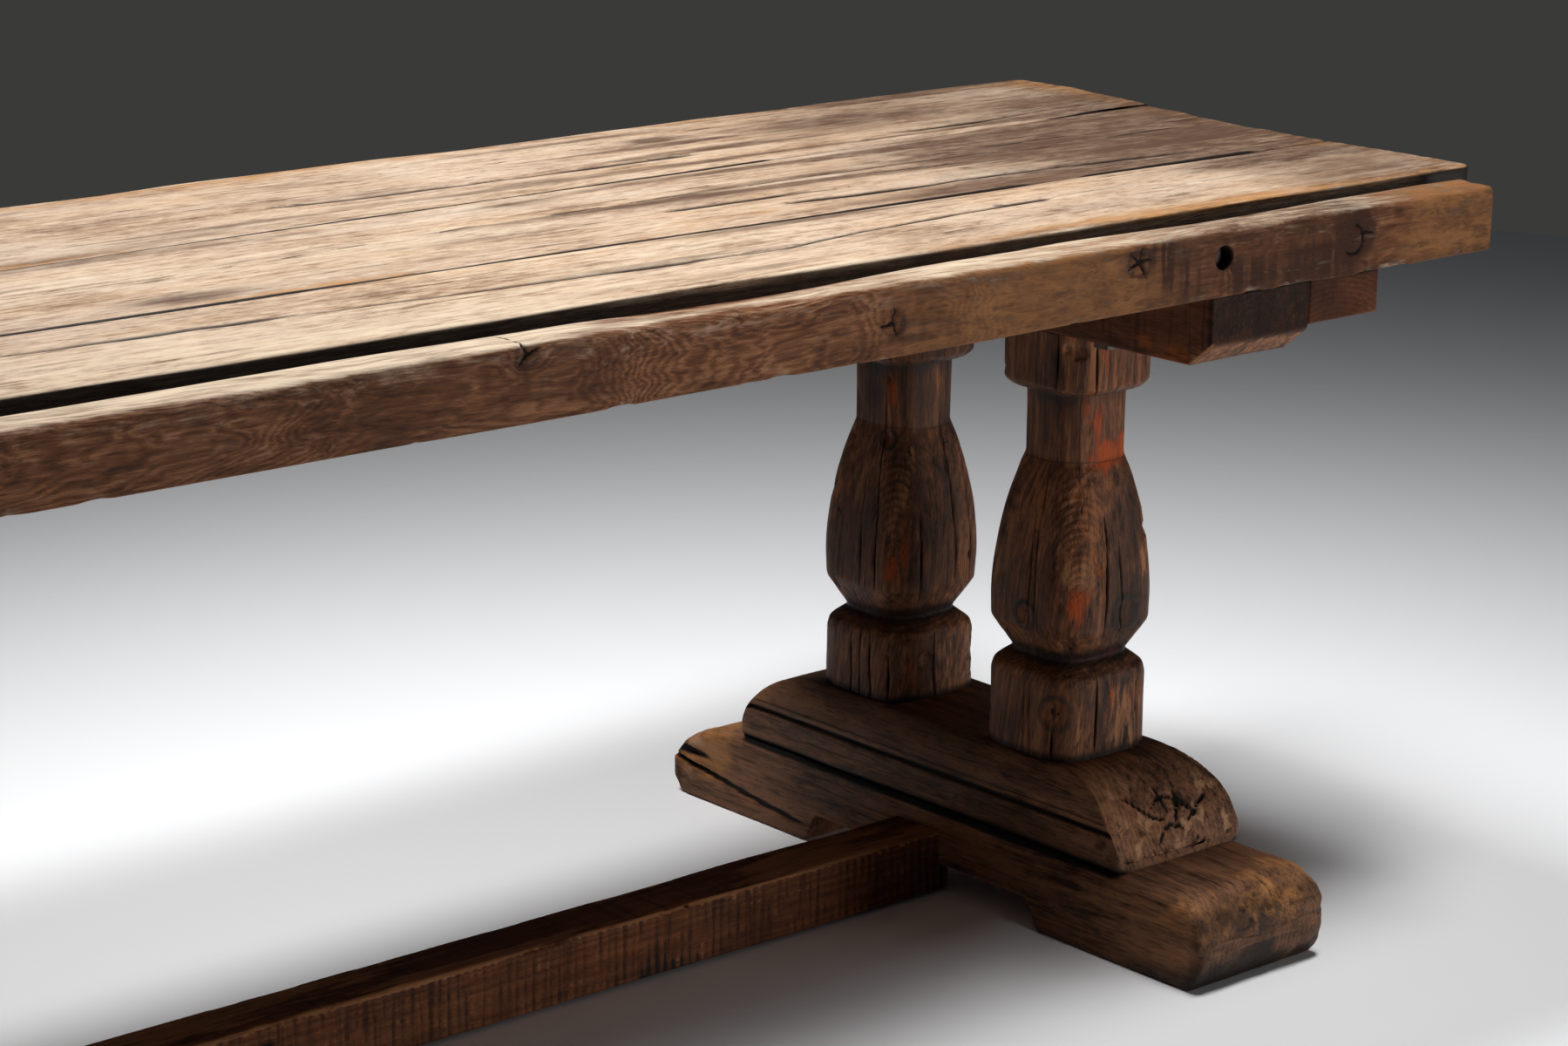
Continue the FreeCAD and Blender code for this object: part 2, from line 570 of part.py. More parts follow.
# The loose tongues along the two joints between the planks.
TONGUES_EACH_SIDE = 2
PLANK_MIDDLE = f"({PLANK_UNDERSIDE} + plank_thickness / 2)"
JOINT_TONGUE = {"x": "joint_tongue_length", "y": "joint_tongue_width", "z": "joint_tongue_thickness"}
JOINTS = {"near_joint": ("near_plank", "middle_plank"), "far_joint": ("middle_plank", "far_plank")}
for joint, planks in JOINTS.items():
    tongues = []
    for step in range(-TONGUES_EACH_SIDE, TONGUES_EACH_SIDE + 1):
        x = f"({step} * joint_tongue_spacing)"
        face = NEAR_JOINT if joint == "near_joint" else joint_at(x)
        key, mortise = tongue(f"{joint}_tongue_{step + TONGUES_EACH_SIDE + 1}", JOINT_TONGUE, "y",
                              x, f"({face} + plank_gap / 2)", PLANK_MIDDLE)
        tongues.append(key)
        for held in planks:
            holes[held].append(mortise)
    nodes[f"{joint}_tongues"] = group(f"{joint}_tongues", tongues)

# The bolts that tie the edge beam to the near plank, each with its washer in a counterbore.
BEAM_FRONT = "(-top_front)"
BORE_BOTTOM = f"({BEAM_FRONT} + counterbore_depth)"
HEAD_SEAT = f"({BORE_BOTTOM} - washer_thickness)"
BOLT_TIP = f"({NEAR_PLANK_FRONT} + edge_bolt_bite)"
bolts, washers = [], []
for side, sign in SIDES.items():
    spot = {"x": f"{sign} * ({TRESTLE_PLACE} - edge_bolt_inset)",
            "z": f"({PLANK_UNDERSIDE} + edge_bolt_height)"}
    head = block(f"{side}_edge_bolt_head", "bolt_head_width", "bolt_head_height", "bolt_head_width",
                 spot["x"], f"({HEAD_SEAT} - bolt_head_height / 2)", f"{spot['z']} - bolt_head_width / 2")
    shank = rod(f"{side}_edge_bolt_shank", "bolt_radius", f"{BOLT_TIP} - {HEAD_SEAT}", ALONG_Y,
                y=HEAD_SEAT, **spot)
    bolts.append(joined(f"{side}_edge_bolt", [head, shank]))
    bolt_hole = rod(f"{side}_edge_bolt_hole", "bolt_radius + bolt_clearance",
                    f"{BOLT_TIP} + bolt_end_room - {BEAM_FRONT}", ALONG_Y, y=BEAM_FRONT, **spot)
    disc = rod(f"{side}_edge_washer_disc", "washer_radius", "washer_thickness", ALONG_Y,
               y=HEAD_SEAT, **spot)
    washers.append(cut(f"{side}_edge_washer", disc, [bolt_hole]))
    counterbore = rod(f"{side}_counterbore", "counterbore_radius", "counterbore_depth", ALONG_Y,
                      y=BEAM_FRONT, **spot)
    holes["edge_beam"] += [bolt_hole, counterbore]
    holes["near_plank"].append(bolt_hole)
nodes["edge_beam_bolts"] = group("edge_beam_bolts", bolts)
nodes["edge_beam_washers"] = group("edge_beam_washers", washers)

# The planks and the edge beam, from their plans.
LEFT_END, RIGHT_END = "(-top_length / 2)", "(top_length / 2)"
BEAM_BACK = f"({BEAM_FRONT} + edge_beam_width)"
beam_left = f"{LEFT_END} + edge_beam_left_setback"
beam_right = f"{RIGHT_END} - edge_beam_right_setback"
near_left = f"{LEFT_END} + near_plank_left_setback"
near_right = f"{RIGHT_END} - near_plank_right_setback"
middle_left = f"{LEFT_END} + middle_plank_left_setback"
middle_right = f"{RIGHT_END} - middle_plank_right_setback"
middle_right_far = f"{middle_right} + middle_plank_right_skew"
far_right_near = f"{RIGHT_END} - far_plank_right_skew"
PLANS = {
    "edge_beam": ([(beam_left, BEAM_FRONT), (beam_right, BEAM_FRONT),
                   (beam_right, BEAM_BACK), (beam_left, BEAM_BACK)],
                  "plank_thickness - edge_beam_drop", (), "edge_beam_radius", "edge_beam_radius"),
    "near_plank": ([(near_left, NEAR_PLANK_FRONT), (near_right, NEAR_PLANK_FRONT),
                    (near_right, NEAR_JOINT), (near_left, NEAR_JOINT)],
                   "plank_thickness", ("far",), "plank_corner_radius", "plank_edge_radius"),
    "middle_plank": ([(middle_left, MIDDLE_FRONT), (middle_right, MIDDLE_FRONT),
                      (middle_right_far, joint_at(middle_right_far)), (middle_left, joint_at(middle_left))],
                     "plank_thickness", PLANK_SIDES, "plank_corner_radius", "plank_edge_radius"),
    "far_plank": ([(LEFT_END, f"{joint_at(LEFT_END)} + plank_gap"),
                   (far_right_near, f"{joint_at(far_right_near)} + plank_gap"),
                   (RIGHT_END, "top_back_right - far_plank_square_end"),
                   (RIGHT_END, "top_back_right"), (LEFT_END, "top_back_left")],
                  "plank_thickness", ("near",), "plank_corner_radius", "plank_edge_radius"),
}
for name, plan in PLANS.items():
    nodes[name] = cut(name, plank(f"{name}_blank", *plan), holes[name])

doc.recompute()
for item in doc.Objects:
    if "Invalid" in item.State or "Error" in item.State:
        raise RuntimeError(f"{item.Name} did not build: {item.State}")
for name, item in nodes.items():
    if item.Shape.isNull() or not item.Shape.isValid() or not item.Shape.Solids:
        raise RuntimeError(f"{name} is not a sound solid")

os.makedirs("parts", exist_ok=True)
for name, item in nodes.items():
    item.Label = name
    item.Shape.exportStep(f"parts/{name}.step")
    box = item.Shape.BoundBox
    print(f"{name}: {len(item.Shape.Solids)} solids, {item.Shape.Volume / 1000:.1f} cm3, "
          f"x {box.XMin:.1f} to {box.XMax:.1f}, y {box.YMin:.1f} to {box.YMax:.1f}, "
          f"z {box.ZMin:.1f} to {box.ZMax:.1f}")
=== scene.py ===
"""Dresses a refectory table: worn oak planks, an edge beam and two trestles, on a plain stage."""

import json
import math

import bpy
import numpy as np
from mathutils import Matrix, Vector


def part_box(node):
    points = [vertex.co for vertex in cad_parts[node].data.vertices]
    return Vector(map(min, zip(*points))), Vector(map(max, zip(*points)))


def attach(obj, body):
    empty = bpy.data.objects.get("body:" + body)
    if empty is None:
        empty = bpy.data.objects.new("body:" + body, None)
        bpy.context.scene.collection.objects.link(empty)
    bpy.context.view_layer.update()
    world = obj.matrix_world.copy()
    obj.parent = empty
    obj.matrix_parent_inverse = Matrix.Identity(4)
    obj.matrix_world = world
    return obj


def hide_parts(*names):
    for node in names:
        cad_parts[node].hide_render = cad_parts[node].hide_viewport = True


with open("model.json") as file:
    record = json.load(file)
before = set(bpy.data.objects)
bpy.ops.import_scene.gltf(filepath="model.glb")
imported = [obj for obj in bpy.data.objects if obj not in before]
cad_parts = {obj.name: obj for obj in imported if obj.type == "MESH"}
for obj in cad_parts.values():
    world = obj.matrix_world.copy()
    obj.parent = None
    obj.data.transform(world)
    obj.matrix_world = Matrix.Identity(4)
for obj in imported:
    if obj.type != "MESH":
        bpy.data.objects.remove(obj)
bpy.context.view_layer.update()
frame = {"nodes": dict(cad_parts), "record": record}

bl_info = {
    "name": "Refectory Table",
    "version": (1, 0, 0),
    "blender": (4, 5, 0),
    "location": "View3D > Sidebar > Table",
    "description": "Builds the worn oak skin of a refectory table over its frame",
    "category": "Object",
}

SIDES = ("right", "left")


def colour(name, description, default):
    """A colour that a user may change, in linear red, green and blue."""
    return bpy.props.FloatVectorProperty(
        name=name, description=description, subtype="COLOR", size=3, min=0.0, max=1.0, default=default)


def length(name, description, default):
    """A size that a user may change, in metres."""
    return bpy.props.FloatProperty(
        name=name, description=description, unit="LENGTH", min=0.0, max=0.2, precision=4, default=default)


class PlankOak(bpy.types.PropertyGroup):
    """Colours of the three planks."""
    dark: colour("Late wood", "Dark lines of the grain", (0.240, 0.130, 0.072))
    mid: colour("Body", "Body of the wood", (0.650, 0.465, 0.325))
    light: colour("Early wood", "Light lines of the grain", (0.830, 0.660, 0.500))
    stain: colour("Stain", "Grey-brown stains", (0.115, 0.060, 0.036))
    tint: colour("Honey", "Warm bands near the edges", (0.580, 0.290, 0.112))
    # The wear colour also paints part of the light on the top towards the left, and the dirt colour paints shade on the
    # near plank's side in the gap behind the edge beam.
    wear: colour("Wear", "Rubbed arrises", (0.860, 0.690, 0.500))
    dirt_and_shade: colour("Dirt", "Cracks and joints", (0.018, 0.011, 0.008))


class EdgeOak(bpy.types.PropertyGroup):
    """Colours of the edge beam."""
    dark: colour("Late wood", "Dark lines of the grain", (0.052, 0.020, 0.010))
    mid: colour("Body", "Body of the wood", (0.170, 0.066, 0.029))
    light: colour("Early wood", "Light lines of the grain", (0.385, 0.172, 0.082))
    stain: colour("Stain", "Black-purple stains", (0.056, 0.021, 0.011))
    tint: colour("Tan", "Fresh tan of the end", (0.350, 0.156, 0.058))
    wear: colour("Wear", "Rubbed arrises", (0.840, 0.680, 0.500))
    # The dirt colour also paints shade on the back face, in the gap behind the beam, and on the walls of the
    # counterbores.
    dirt_and_shade: colour("Dirt", "Cracks and holes", (0.016, 0.009, 0.007))


class LegOak(bpy.types.PropertyGroup):
    """Colours of the legs."""
    dark: colour("Late wood", "Dark lines of the grain", (0.036, 0.019, 0.012))
    mid: colour("Body", "Body of the wood", (0.158, 0.065, 0.033))
    light: colour("Early wood", "Light lines of the grain", (0.400, 0.155, 0.064))
    # The stain colour also paints shade under the cap, the wear colour paints light on the block's front face, and the
    # dirt colour paints shade in the waist.
    stain: colour("Stain", "Black stains", (0.030, 0.023, 0.019))
    tint: colour("Rust", "Orange-red patches", (0.470, 0.085, 0.017))
    wear: colour("Wear", "Rubbed arrises", (0.400, 0.175, 0.075))
    dirt_and_shade: colour("Dirt", "Checks and crevices", (0.010, 0.006, 0.005))


class FootOak(bpy.types.PropertyGroup):
    """Colours of the feet."""
    dark: colour("Late wood", "Dark lines of the grain", (0.048, 0.024, 0.015))
    mid: colour("Body", "Body of the wood", (0.255, 0.120, 0.065))
    light: colour("Early wood", "Light lines of the grain", (0.400, 0.185, 0.085))
    stain: colour("Stain", "Black stains", (0.030, 0.019, 0.014))
    tint: colour("Gold", "Golden worn noses", (0.500, 0.222, 0.080))
    # The wear colour also paints light on the far nose, which the table shades. The dirt colour paints shade in the gap
    # where the upper foot meets the lower, on the upper foot's bottom edge and on the near nose's face.
    wear: colour("Wear", "Rubbed arrises", (0.520, 0.285, 0.150))
    dirt_and_shade: colour("Dirt", "Splits and grooves", (0.008, 0.005, 0.004))


class TrestleOak(bpy.types.PropertyGroup):
    """Colours of the bearers, the battens and the stretcher."""
    dark: colour("Late wood", "Dark lines of the grain", (0.030, 0.011, 0.006))
    mid: colour("Body", "Body of the wood", (0.155, 0.054, 0.024))
    light: colour("Early wood", "Light lines of the grain", (0.300, 0.112, 0.045))
    stain: colour("Stain", "Black stains", (0.022, 0.012, 0.008))
    tint: colour("Rust", "Orange patches", (0.420, 0.120, 0.028))
    # The wear colour also paints light on the stretcher's top, which the table shades, and the dirt colour paints shade
    # along the top of the bearers and battens, under the planks.
    wear: colour("Wear", "Rubbed arrises", (0.400, 0.180, 0.080))
    dirt_and_shade: colour("Dirt", "Cracks and nicks", (0.008, 0.005, 0.004))


class StageSettings(bpy.types.PropertyGroup):
    """Colours of the inner pieces, the iron and the stage."""
    inner: colour("Bare oak", "Tongues, wedges and pegs", (0.400, 0.270, 0.160))
    iron: colour("Iron", "Spikes, bolts and washers", (0.085, 0.075, 0.070))
    rust: colour("Rust", "Rust on the iron", (0.160, 0.065, 0.030))
    floor: colour("Floor", "Pale floor", (0.800, 0.805, 0.815))
    backdrop: colour("Backdrop", "Plain grey behind the floor", (0.042, 0.042, 0.041))


class WearSizes(bpy.types.PropertyGroup):
    """Sizes of the marks that wear and tools have left."""
    plank_arris: length("Plank arris", "Rounding of the planks' outer top arrises", 0.007)
    beam_arris: length("Beam arris", "Rounding of the edge beam's top arrises", 0.009)
    hollow: length("Hollows", "Depth of the planks' worn hollows", 0.0012)
    crack: length("Cracks", "Depth of the planks' cracks", 0.012)
    check: length("Checks", "Depth of the legs' drying checks", 0.008)
    ridge: length("Ridges", "Height of the raised grain on the legs", 0.0006)
    saw_pitch: length("Saw marks", "Saw mark to saw mark along the stretcher", 0.0105)
    saw_depth: length("Saw depth", "Depth of the stretcher's saw marks", 0.0005)
    nick: length("Nicks", "Depth of the nicks in worn arrises", 0.003)


FINISHES = {"plank_oak": PlankOak, "edge_oak": EdgeOak, "leg_oak": LegOak, "foot_oak": FootOak,
            "trestle_oak": TrestleOak}


def smooth(low, high, value):
    """Rises from 0 to 1 between two limits: s s (3 - 2 s), s running from 0 to 1."""
    s = np.clip((value - low) / (high - low), 0.0, 1.0)
    return s * s * (3.0 - 2.0 * s)


def between(opens, full, fades, shut, value):
    """Rises smoothly from 0 at opens to 1 at full, and falls again from fades to shut."""
    return smooth(opens, full, value) * smooth(-shut, -fades, -value)


def scattered(cells, seed):
    """A number from 0 to 1 for each whole-numbered cell: its coordinates times large odd numbers, mixed by shifts."""
    i, j, k = (cells[..., axis].astype(np.uint32) for axis in range(3))
    mixed = i * np.uint32(374761393) + j * np.uint32(668265263) + k * np.uint32(2246822519)
    mixed = mixed + np.uint32(seed * 3266489917 % 2 ** 32)
    mixed = (mixed ^ (mixed >> np.uint32(13))) * np.uint32(1274126177)
    mixed = mixed ^ (mixed >> np.uint32(16))
    return (mixed & np.uint32(0xFFFFFF)) / float(0xFFFFFF)


def noise(points, seed=0):
    """Smooth noise from -1 to 1: the numbers at the eight corners of each point's cell, blended by s s (3 - 2 s)."""
    base = np.floor(points)
    part = smooth(0.0, 1.0, points - base)
    base = base.astype(np.int64)
    total = 0.0
    for corner in np.ndindex(2, 2, 2):
        weight = np.prod(np.where(np.array(corner) == 1, part, 1.0 - part), axis=-1)
        total = total + weight * scattered(base + np.array(corner), seed)
    return 2.0 * total - 1.0


def layered(points, seed=0, layers=3):
    """Noise at doubling pitch and halving height, added up."""
    return sum(noise(points * 2.0 ** layer, seed + 17 * layer) / 2.0 ** layer for layer in range(layers))


def lengthwise(places, scale=1.0):
    """Coordinates for noise that changes along one axis only: the places times the scale, then zeros."""
    return np.stack([places * scale, places * 0.0, places * 0.0], axis=-1)


def patches(spots, scale, seed, low, high):
    """Soft-edged patches from 0 to 1: layered noise that rises between two levels."""
    return smooth(low, high, layered(spots * scale, seed))


def rubbing(spots, scale, seed, share, spread):
    """Uneven rubbing from 0 to 1: a share plus a spread times noise, held inside its limits."""
    return np.clip(share + spread * noise(spots * scale, seed), 0.0, 1.0)


def corners(name):
    """The low and the high corner of a node's box."""
    return [np.array(corner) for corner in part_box(name)]


def round_in(distance, radius):
    """How far a quarter circle draws a surface in at a distance d from its end: r - sqrt(r r - (r - d)^2)."""
    return radius - np.sqrt(np.maximum(radius ** 2 - np.maximum(radius - distance, 0.0) ** 2, 0.0))


def ring_places(places, across):
    """The same place along the piece for every point of a ring."""
    return np.repeat(places[:, None], across.shape[1], axis=1)


def straight_grain(axes, pith):
    """A rule for the grain's coordinates: a point's own, in the order of the axes, measured from the pith."""
    return lambda points: points[:, axes] - np.array(pith)


def stations(start, finish, step, fine=()):
    """Places from start to finish, closer together about the fine places: the running total of 1 / step, cut evenly."""
    dense = np.linspace(start, finish, 6001)
    local = np.full_like(dense, step)
    for centre, reach, small in fine:
        near = small + (step - small) * smooth(reach, 2.5 * reach, np.abs(dense - centre))
        local = np.minimum(local, near)
    widths = (dense[1] - dense[0]) / ((local[1:] + local[:-1]) / 2.0)
    total = np.concatenate([[0.0], np.cumsum(widths)])
    count = int(round(total[-1]))
    return np.interp(np.linspace(0.0, total[-1], count + 1), total, dense)


def rounded_ends(places, radius, steps=6):
    """Turns the two ends of a run of places into quarter circles.

    At a turn t from the end's edge, a place lies radius (1 - sin t) from the end and is drawn in by radius (1 - cos t).
    Returns the places and how far each is drawn in.
    """
    turn = np.linspace(math.pi / 2, 0.0, steps, endpoint=False)
    start, finish = places[0], places[-1]
    inner = places[(places > start + 1.1 * radius) & (places < finish - 1.1 * radius)]
    head, tail = start + radius * (1.0 - np.sin(turn)), finish - radius * (1.0 - np.sin(turn[::-1]))
    drawn = radius * (1.0 - np.cos(turn))
    inset = np.concatenate([drawn, np.zeros(len(inner) + 2), drawn[::-1]])
    return np.concatenate([head, [start + radius], inner, [finish - radius], tail]), inset


def section(back, top, front, bottom, corner=6):
    """One round of a rounded rectangle, anticlockwise from low on its back, as rows of four numbers.

    The first two place a point on the inner rectangle, from -1 to 1; the last two are its outward direction, which the
    corner radius multiplies.
    """
    def side(count, start, end, out):
        share = (np.arange(count) + 1.0)[:, None] / (count + 1.0)
        return np.hstack([start + (end - start) * share, np.repeat([out], count, axis=0)])

    def turn(at, angle):
        angles = np.radians(angle + np.linspace(0.0, 90.0, corner))
        return np.column_stack([np.repeat([at], corner, axis=0), np.cos(angles), np.sin(angles)])

    low_back, high_back = np.array([1.0, -1.0]), np.array([1.0, 1.0])
    high_front, low_front = np.array([-1.0, 1.0]), np.array([-1.0, -1.0])
    return np.vstack([
        side(back, low_back, high_back, (1.0, 0.0)), turn(high_back, 0.0),
        side(top, high_back, high_front, (0.0, 1.0)), turn(high_front, 90.0),
        side(front, high_front, low_front, (-1.0, 0.0)), turn(low_front, 180.0),
        side(bottom, low_front, low_back, (0.0, -1.0)), turn(low_back, 270.0),
    ])


def bar(rows, middle, half, low, high, radius):
    """Rings of a bar, one rounded rectangle at each place along it.

    Across = middle + a (half - radius) + out radius, and up likewise between low and high.
    """
    radius = np.minimum(radius, np.minimum(half, (high - low) / 2.0))
    across = middle + rows[:, 0] * (half - radius) + rows[:, 2] * radius
    up = (low + high) / 2.0 + rows[:, 1] * ((high - low) / 2.0 - radius) + rows[:, 3] * radius
    return across, up


def capped(rings, shares=(0.94, 0.82, 0.64, 0.42, 0.2)):
    """Adds shrunken copies of the first and last ring, each drawn in towards the ring's own middle, as end faces."""
    shares = np.array(shares)[:, None, None]
    first, last = rings[:1], rings[-1:]
    head = first.mean(axis=1, keepdims=True) + (first - first.mean(axis=1, keepdims=True)) * shares[::-1]
    tail = last.mean(axis=1, keepdims=True) + (last - last.mean(axis=1, keepdims=True)) * shares
    return np.concatenate([head, rings, tail])


def skin(rings):
    """Closes a stack of rings: four-sided faces between neighbours and a fan to one middle point at either end."""
    count, around = rings.shape[:2]
    ids = np.arange(count * around).reshape(count, around)
    beside = np.roll(ids, -1, axis=1)
    quads = np.stack([ids[:-1], beside[:-1], beside[1:], ids[1:]], axis=-1)
    poles = count * around, count * around + 1
    first = np.column_stack([beside[0], ids[0], np.full(around, poles[0])])
    last = np.column_stack([ids[-1], beside[-1], np.full(around, poles[1])])
    points = np.vstack([rings.reshape(-1, 3), rings[0].mean(axis=0), rings[-1].mean(axis=0)])
    return points, quads, np.vstack([first, last])


def finish_piece(node, points, faces, marks, grain, slot):
    """Puts points, faces, marks and grain into a mesh, and sets it on the frame in place of its node."""
    mesh = bpy.data.meshes.new(node)
    mesh.from_pydata(points.tolist(), [], faces)
    mesh.polygons.foreach_set("use_smooth", np.ones(len(mesh.polygons), dtype=bool))
    for mark in ("wear", "stain", "tint", "dirt_and_shade"):
        values = np.clip(marks[mark], 0.0, 1.0).astype(np.float32)
        mesh.attributes.new(mark, "FLOAT", "POINT").data.foreach_set("value", values)
    along = mesh.attributes.new("grain", "FLOAT_VECTOR", "POINT")
    along.data.foreach_set("vector", grain.astype(np.float32).ravel())
    if mesh.validate(verbose=False):
        raise RuntimeError(f"{node} has faulty faces")
    piece = bpy.data.objects.new(node, mesh)
    bpy.context.scene.collection.objects.link(piece)
    mesh.materials.append(oak_finish(slot))
    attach(piece, "root")
    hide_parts(node)


def add_caps(marks, shares=(0.7, 0.35, 0.12, 0.0, 0.0)):
    """Marks for the end faces that capped adds and for their middle points: the end ring's own, fading to its mean."""
    shares = np.array(shares)[:, None]
    full = {}
    for mark, values in marks.items():
        first, last = values[:1], values[-1:]
        middles = np.array([first.mean(), last.mean()]) * (0.3 if mark == "dirt_and_shade" else 1.0)
        fade = shares * (0.2 if mark == "dirt_and_shade" else 1.0)
        head = middles[0] + (first - middles[0]) * fade[::-1]
        tail = middles[1] + (last - middles[1]) * fade
        full[mark] = np.append(np.concatenate([head, values, tail]).ravel(), middles)
    return full


def skin_piece(node, rings, marks, grain_of, slot):
    """A whole piece from its rings: end faces, skin, grain and finish."""
    points, quads, fans = skin(capped(rings))
    faces = quads.reshape(-1, 4).tolist() + fans.tolist()
    finish_piece(node, points, faces, add_caps(marks), grain_of(points), slot)


class Finish:
    """A material's node tree while it is being wired."""

    def __init__(self, name):
        self.material = bpy.data.materials.new(name)
        self.material.use_nodes = True
        self.nodes = self.material.node_tree.nodes
        self.links = self.material.node_tree.links
        self.shader = self.nodes["Principled BSDF"]

    def feed(self, socket, value):
        """Links a socket to another node's output, or sets its value."""
        if isinstance(value, bpy.types.NodeSocket):
            self.links.new(value, socket)
        else:
            socket.default_value = value

    def add(self, kind, inputs=(), **settings):
        """One node, with its settings and its inputs, each a value or another node's output."""
        node = self.nodes.new(kind)
        for key, value in settings.items():
            setattr(node, key, value)
        for key, value in dict(inputs).items():
            self.feed(node.inputs[key], value)
        return node

    def wire(self, **inputs):
        """Links or sets the shader's own sockets."""
        for key, value in inputs.items():
            self.feed(self.shader.inputs[key.replace("_", " ")], value)

    def mark(self, name):
        """One of the piece's own marks."""
        return self.add("ShaderNodeAttribute", attribute_name=name).outputs["Fac"]

    def scaled(self, vector, scale):
        """Coordinates multiplied axis by axis."""
        return self.add("ShaderNodeMapping", {"Vector": vector, "Scale": scale}).outputs["Vector"]

    def cloud(self, vector, scale, detail=3.0, rough=0.55):
        """Noise on coordinates that are multiplied axis by axis first."""
        return self.add("ShaderNodeTexNoise", {
            "Vector": self.scaled(vector, scale), "Scale": 1.0, "Detail": detail, "Roughness": rough}).outputs["Fac"]

    def shift(self, operation, first, second):
        """One step of arithmetic on coordinates."""
        return self.add("ShaderNodeVectorMath", {0: first, 1: second}, operation=operation).outputs[0]

    def maths(self, operation, first, second=0.0, third=0.0):
        """One step of arithmetic."""
        return self.add("ShaderNodeMath", {0: first, 1: second, 2: third}, operation=operation).outputs[0]

    def weigh(self, parts, total=0.5):
        """Adds up values that vary about a half, each with its weight."""
        for value, weight in parts:
            total = self.maths("MULTIPLY_ADD", self.maths("SUBTRACT", value, 0.5), weight, total)
        return total

    def span(self, value, low, high, to_low=0.0, to_high=1.0):
        """A value moved from one range to another, smoothly, and held inside it."""
        return self.add("ShaderNodeMapRange", {
            "Value": value, "From Min": low, "From Max": high, "To Min": to_low, "To Max": to_high},
            interpolation_type="SMOOTHSTEP").outputs["Result"]

    def mix(self, share, first, second, blend="MIX"):
        """Two colours blended."""
        node = self.add("ShaderNodeMix", {0: share}, data_type="RGBA", blend_type=blend)
        for socket, value in ((node.inputs[6], first), (node.inputs[7], second)):
            self.feed(socket, value if isinstance(value, bpy.types.NodeSocket) else (*value, 1.0))
        return node.outputs[2]

    def ramp(self, value, stops):
        """A colour that changes along a value."""
        node = self.add("ShaderNodeValToRGB", {"Fac": value})
        while len(node.color_ramp.elements) < len(stops):
            node.color_ramp.elements.new(0.5)
        for element, (position, shade) in zip(node.color_ramp.elements, stops):
            element.position = position
            element.color = (*shade, 1.0)
        return node.outputs["Color"]

    def bump(self, height, strength, distance):
        """Relief too fine to model, from a height."""
        return self.add("ShaderNodeBump", {
            "Height": height, "Strength": strength, "Distance": distance}).outputs["Normal"]


# An oak finish's habits: ring pitch, weights of rings, fibres, blotches and mottling, roughness, shine, saw streaks,
# relief, hair cracks and flecks, how softly the marks' patches end and how fine they are.
HABIT_NAMES = ("pitch", "rings", "fibre", "blotch", "mottle", "rough", "shine", "saw", "relief", "hair", "fleck",
               "soft", "fine")
OAK_HABITS = {
    "plank_oak": (46.0, 0.10, 0.58, 0.80, 0.85, 0.50, 0.30, 0.0, 0.45, 0.80, 0.60, 1.5, 1.8),
    "edge_oak": (135.0, 0.24, 0.70, 0.65, 0.40, 0.56, 0.12, 0.0, 0.50, 0.45, 0.50, 2.3, 1.3),
    "leg_oak": (60.0, 0.16, 0.72, 0.95, 0.85, 0.46, 0.14, 0.0, 0.70, 0.80, 0.50, 0.9, 1.2),
    "foot_oak": (52.0, 0.20, 0.80, 0.85, 0.80, 0.50, 0.16, 0.0, 0.70, 0.70, 0.50, 1.1, 1.4),
    "trestle_oak": (55.0, 0.18, 0.22, 0.65, 0.55, 0.55, 0.10, 0.52, 0.50, 0.30, 0.30, 1.0, 1.0),
}


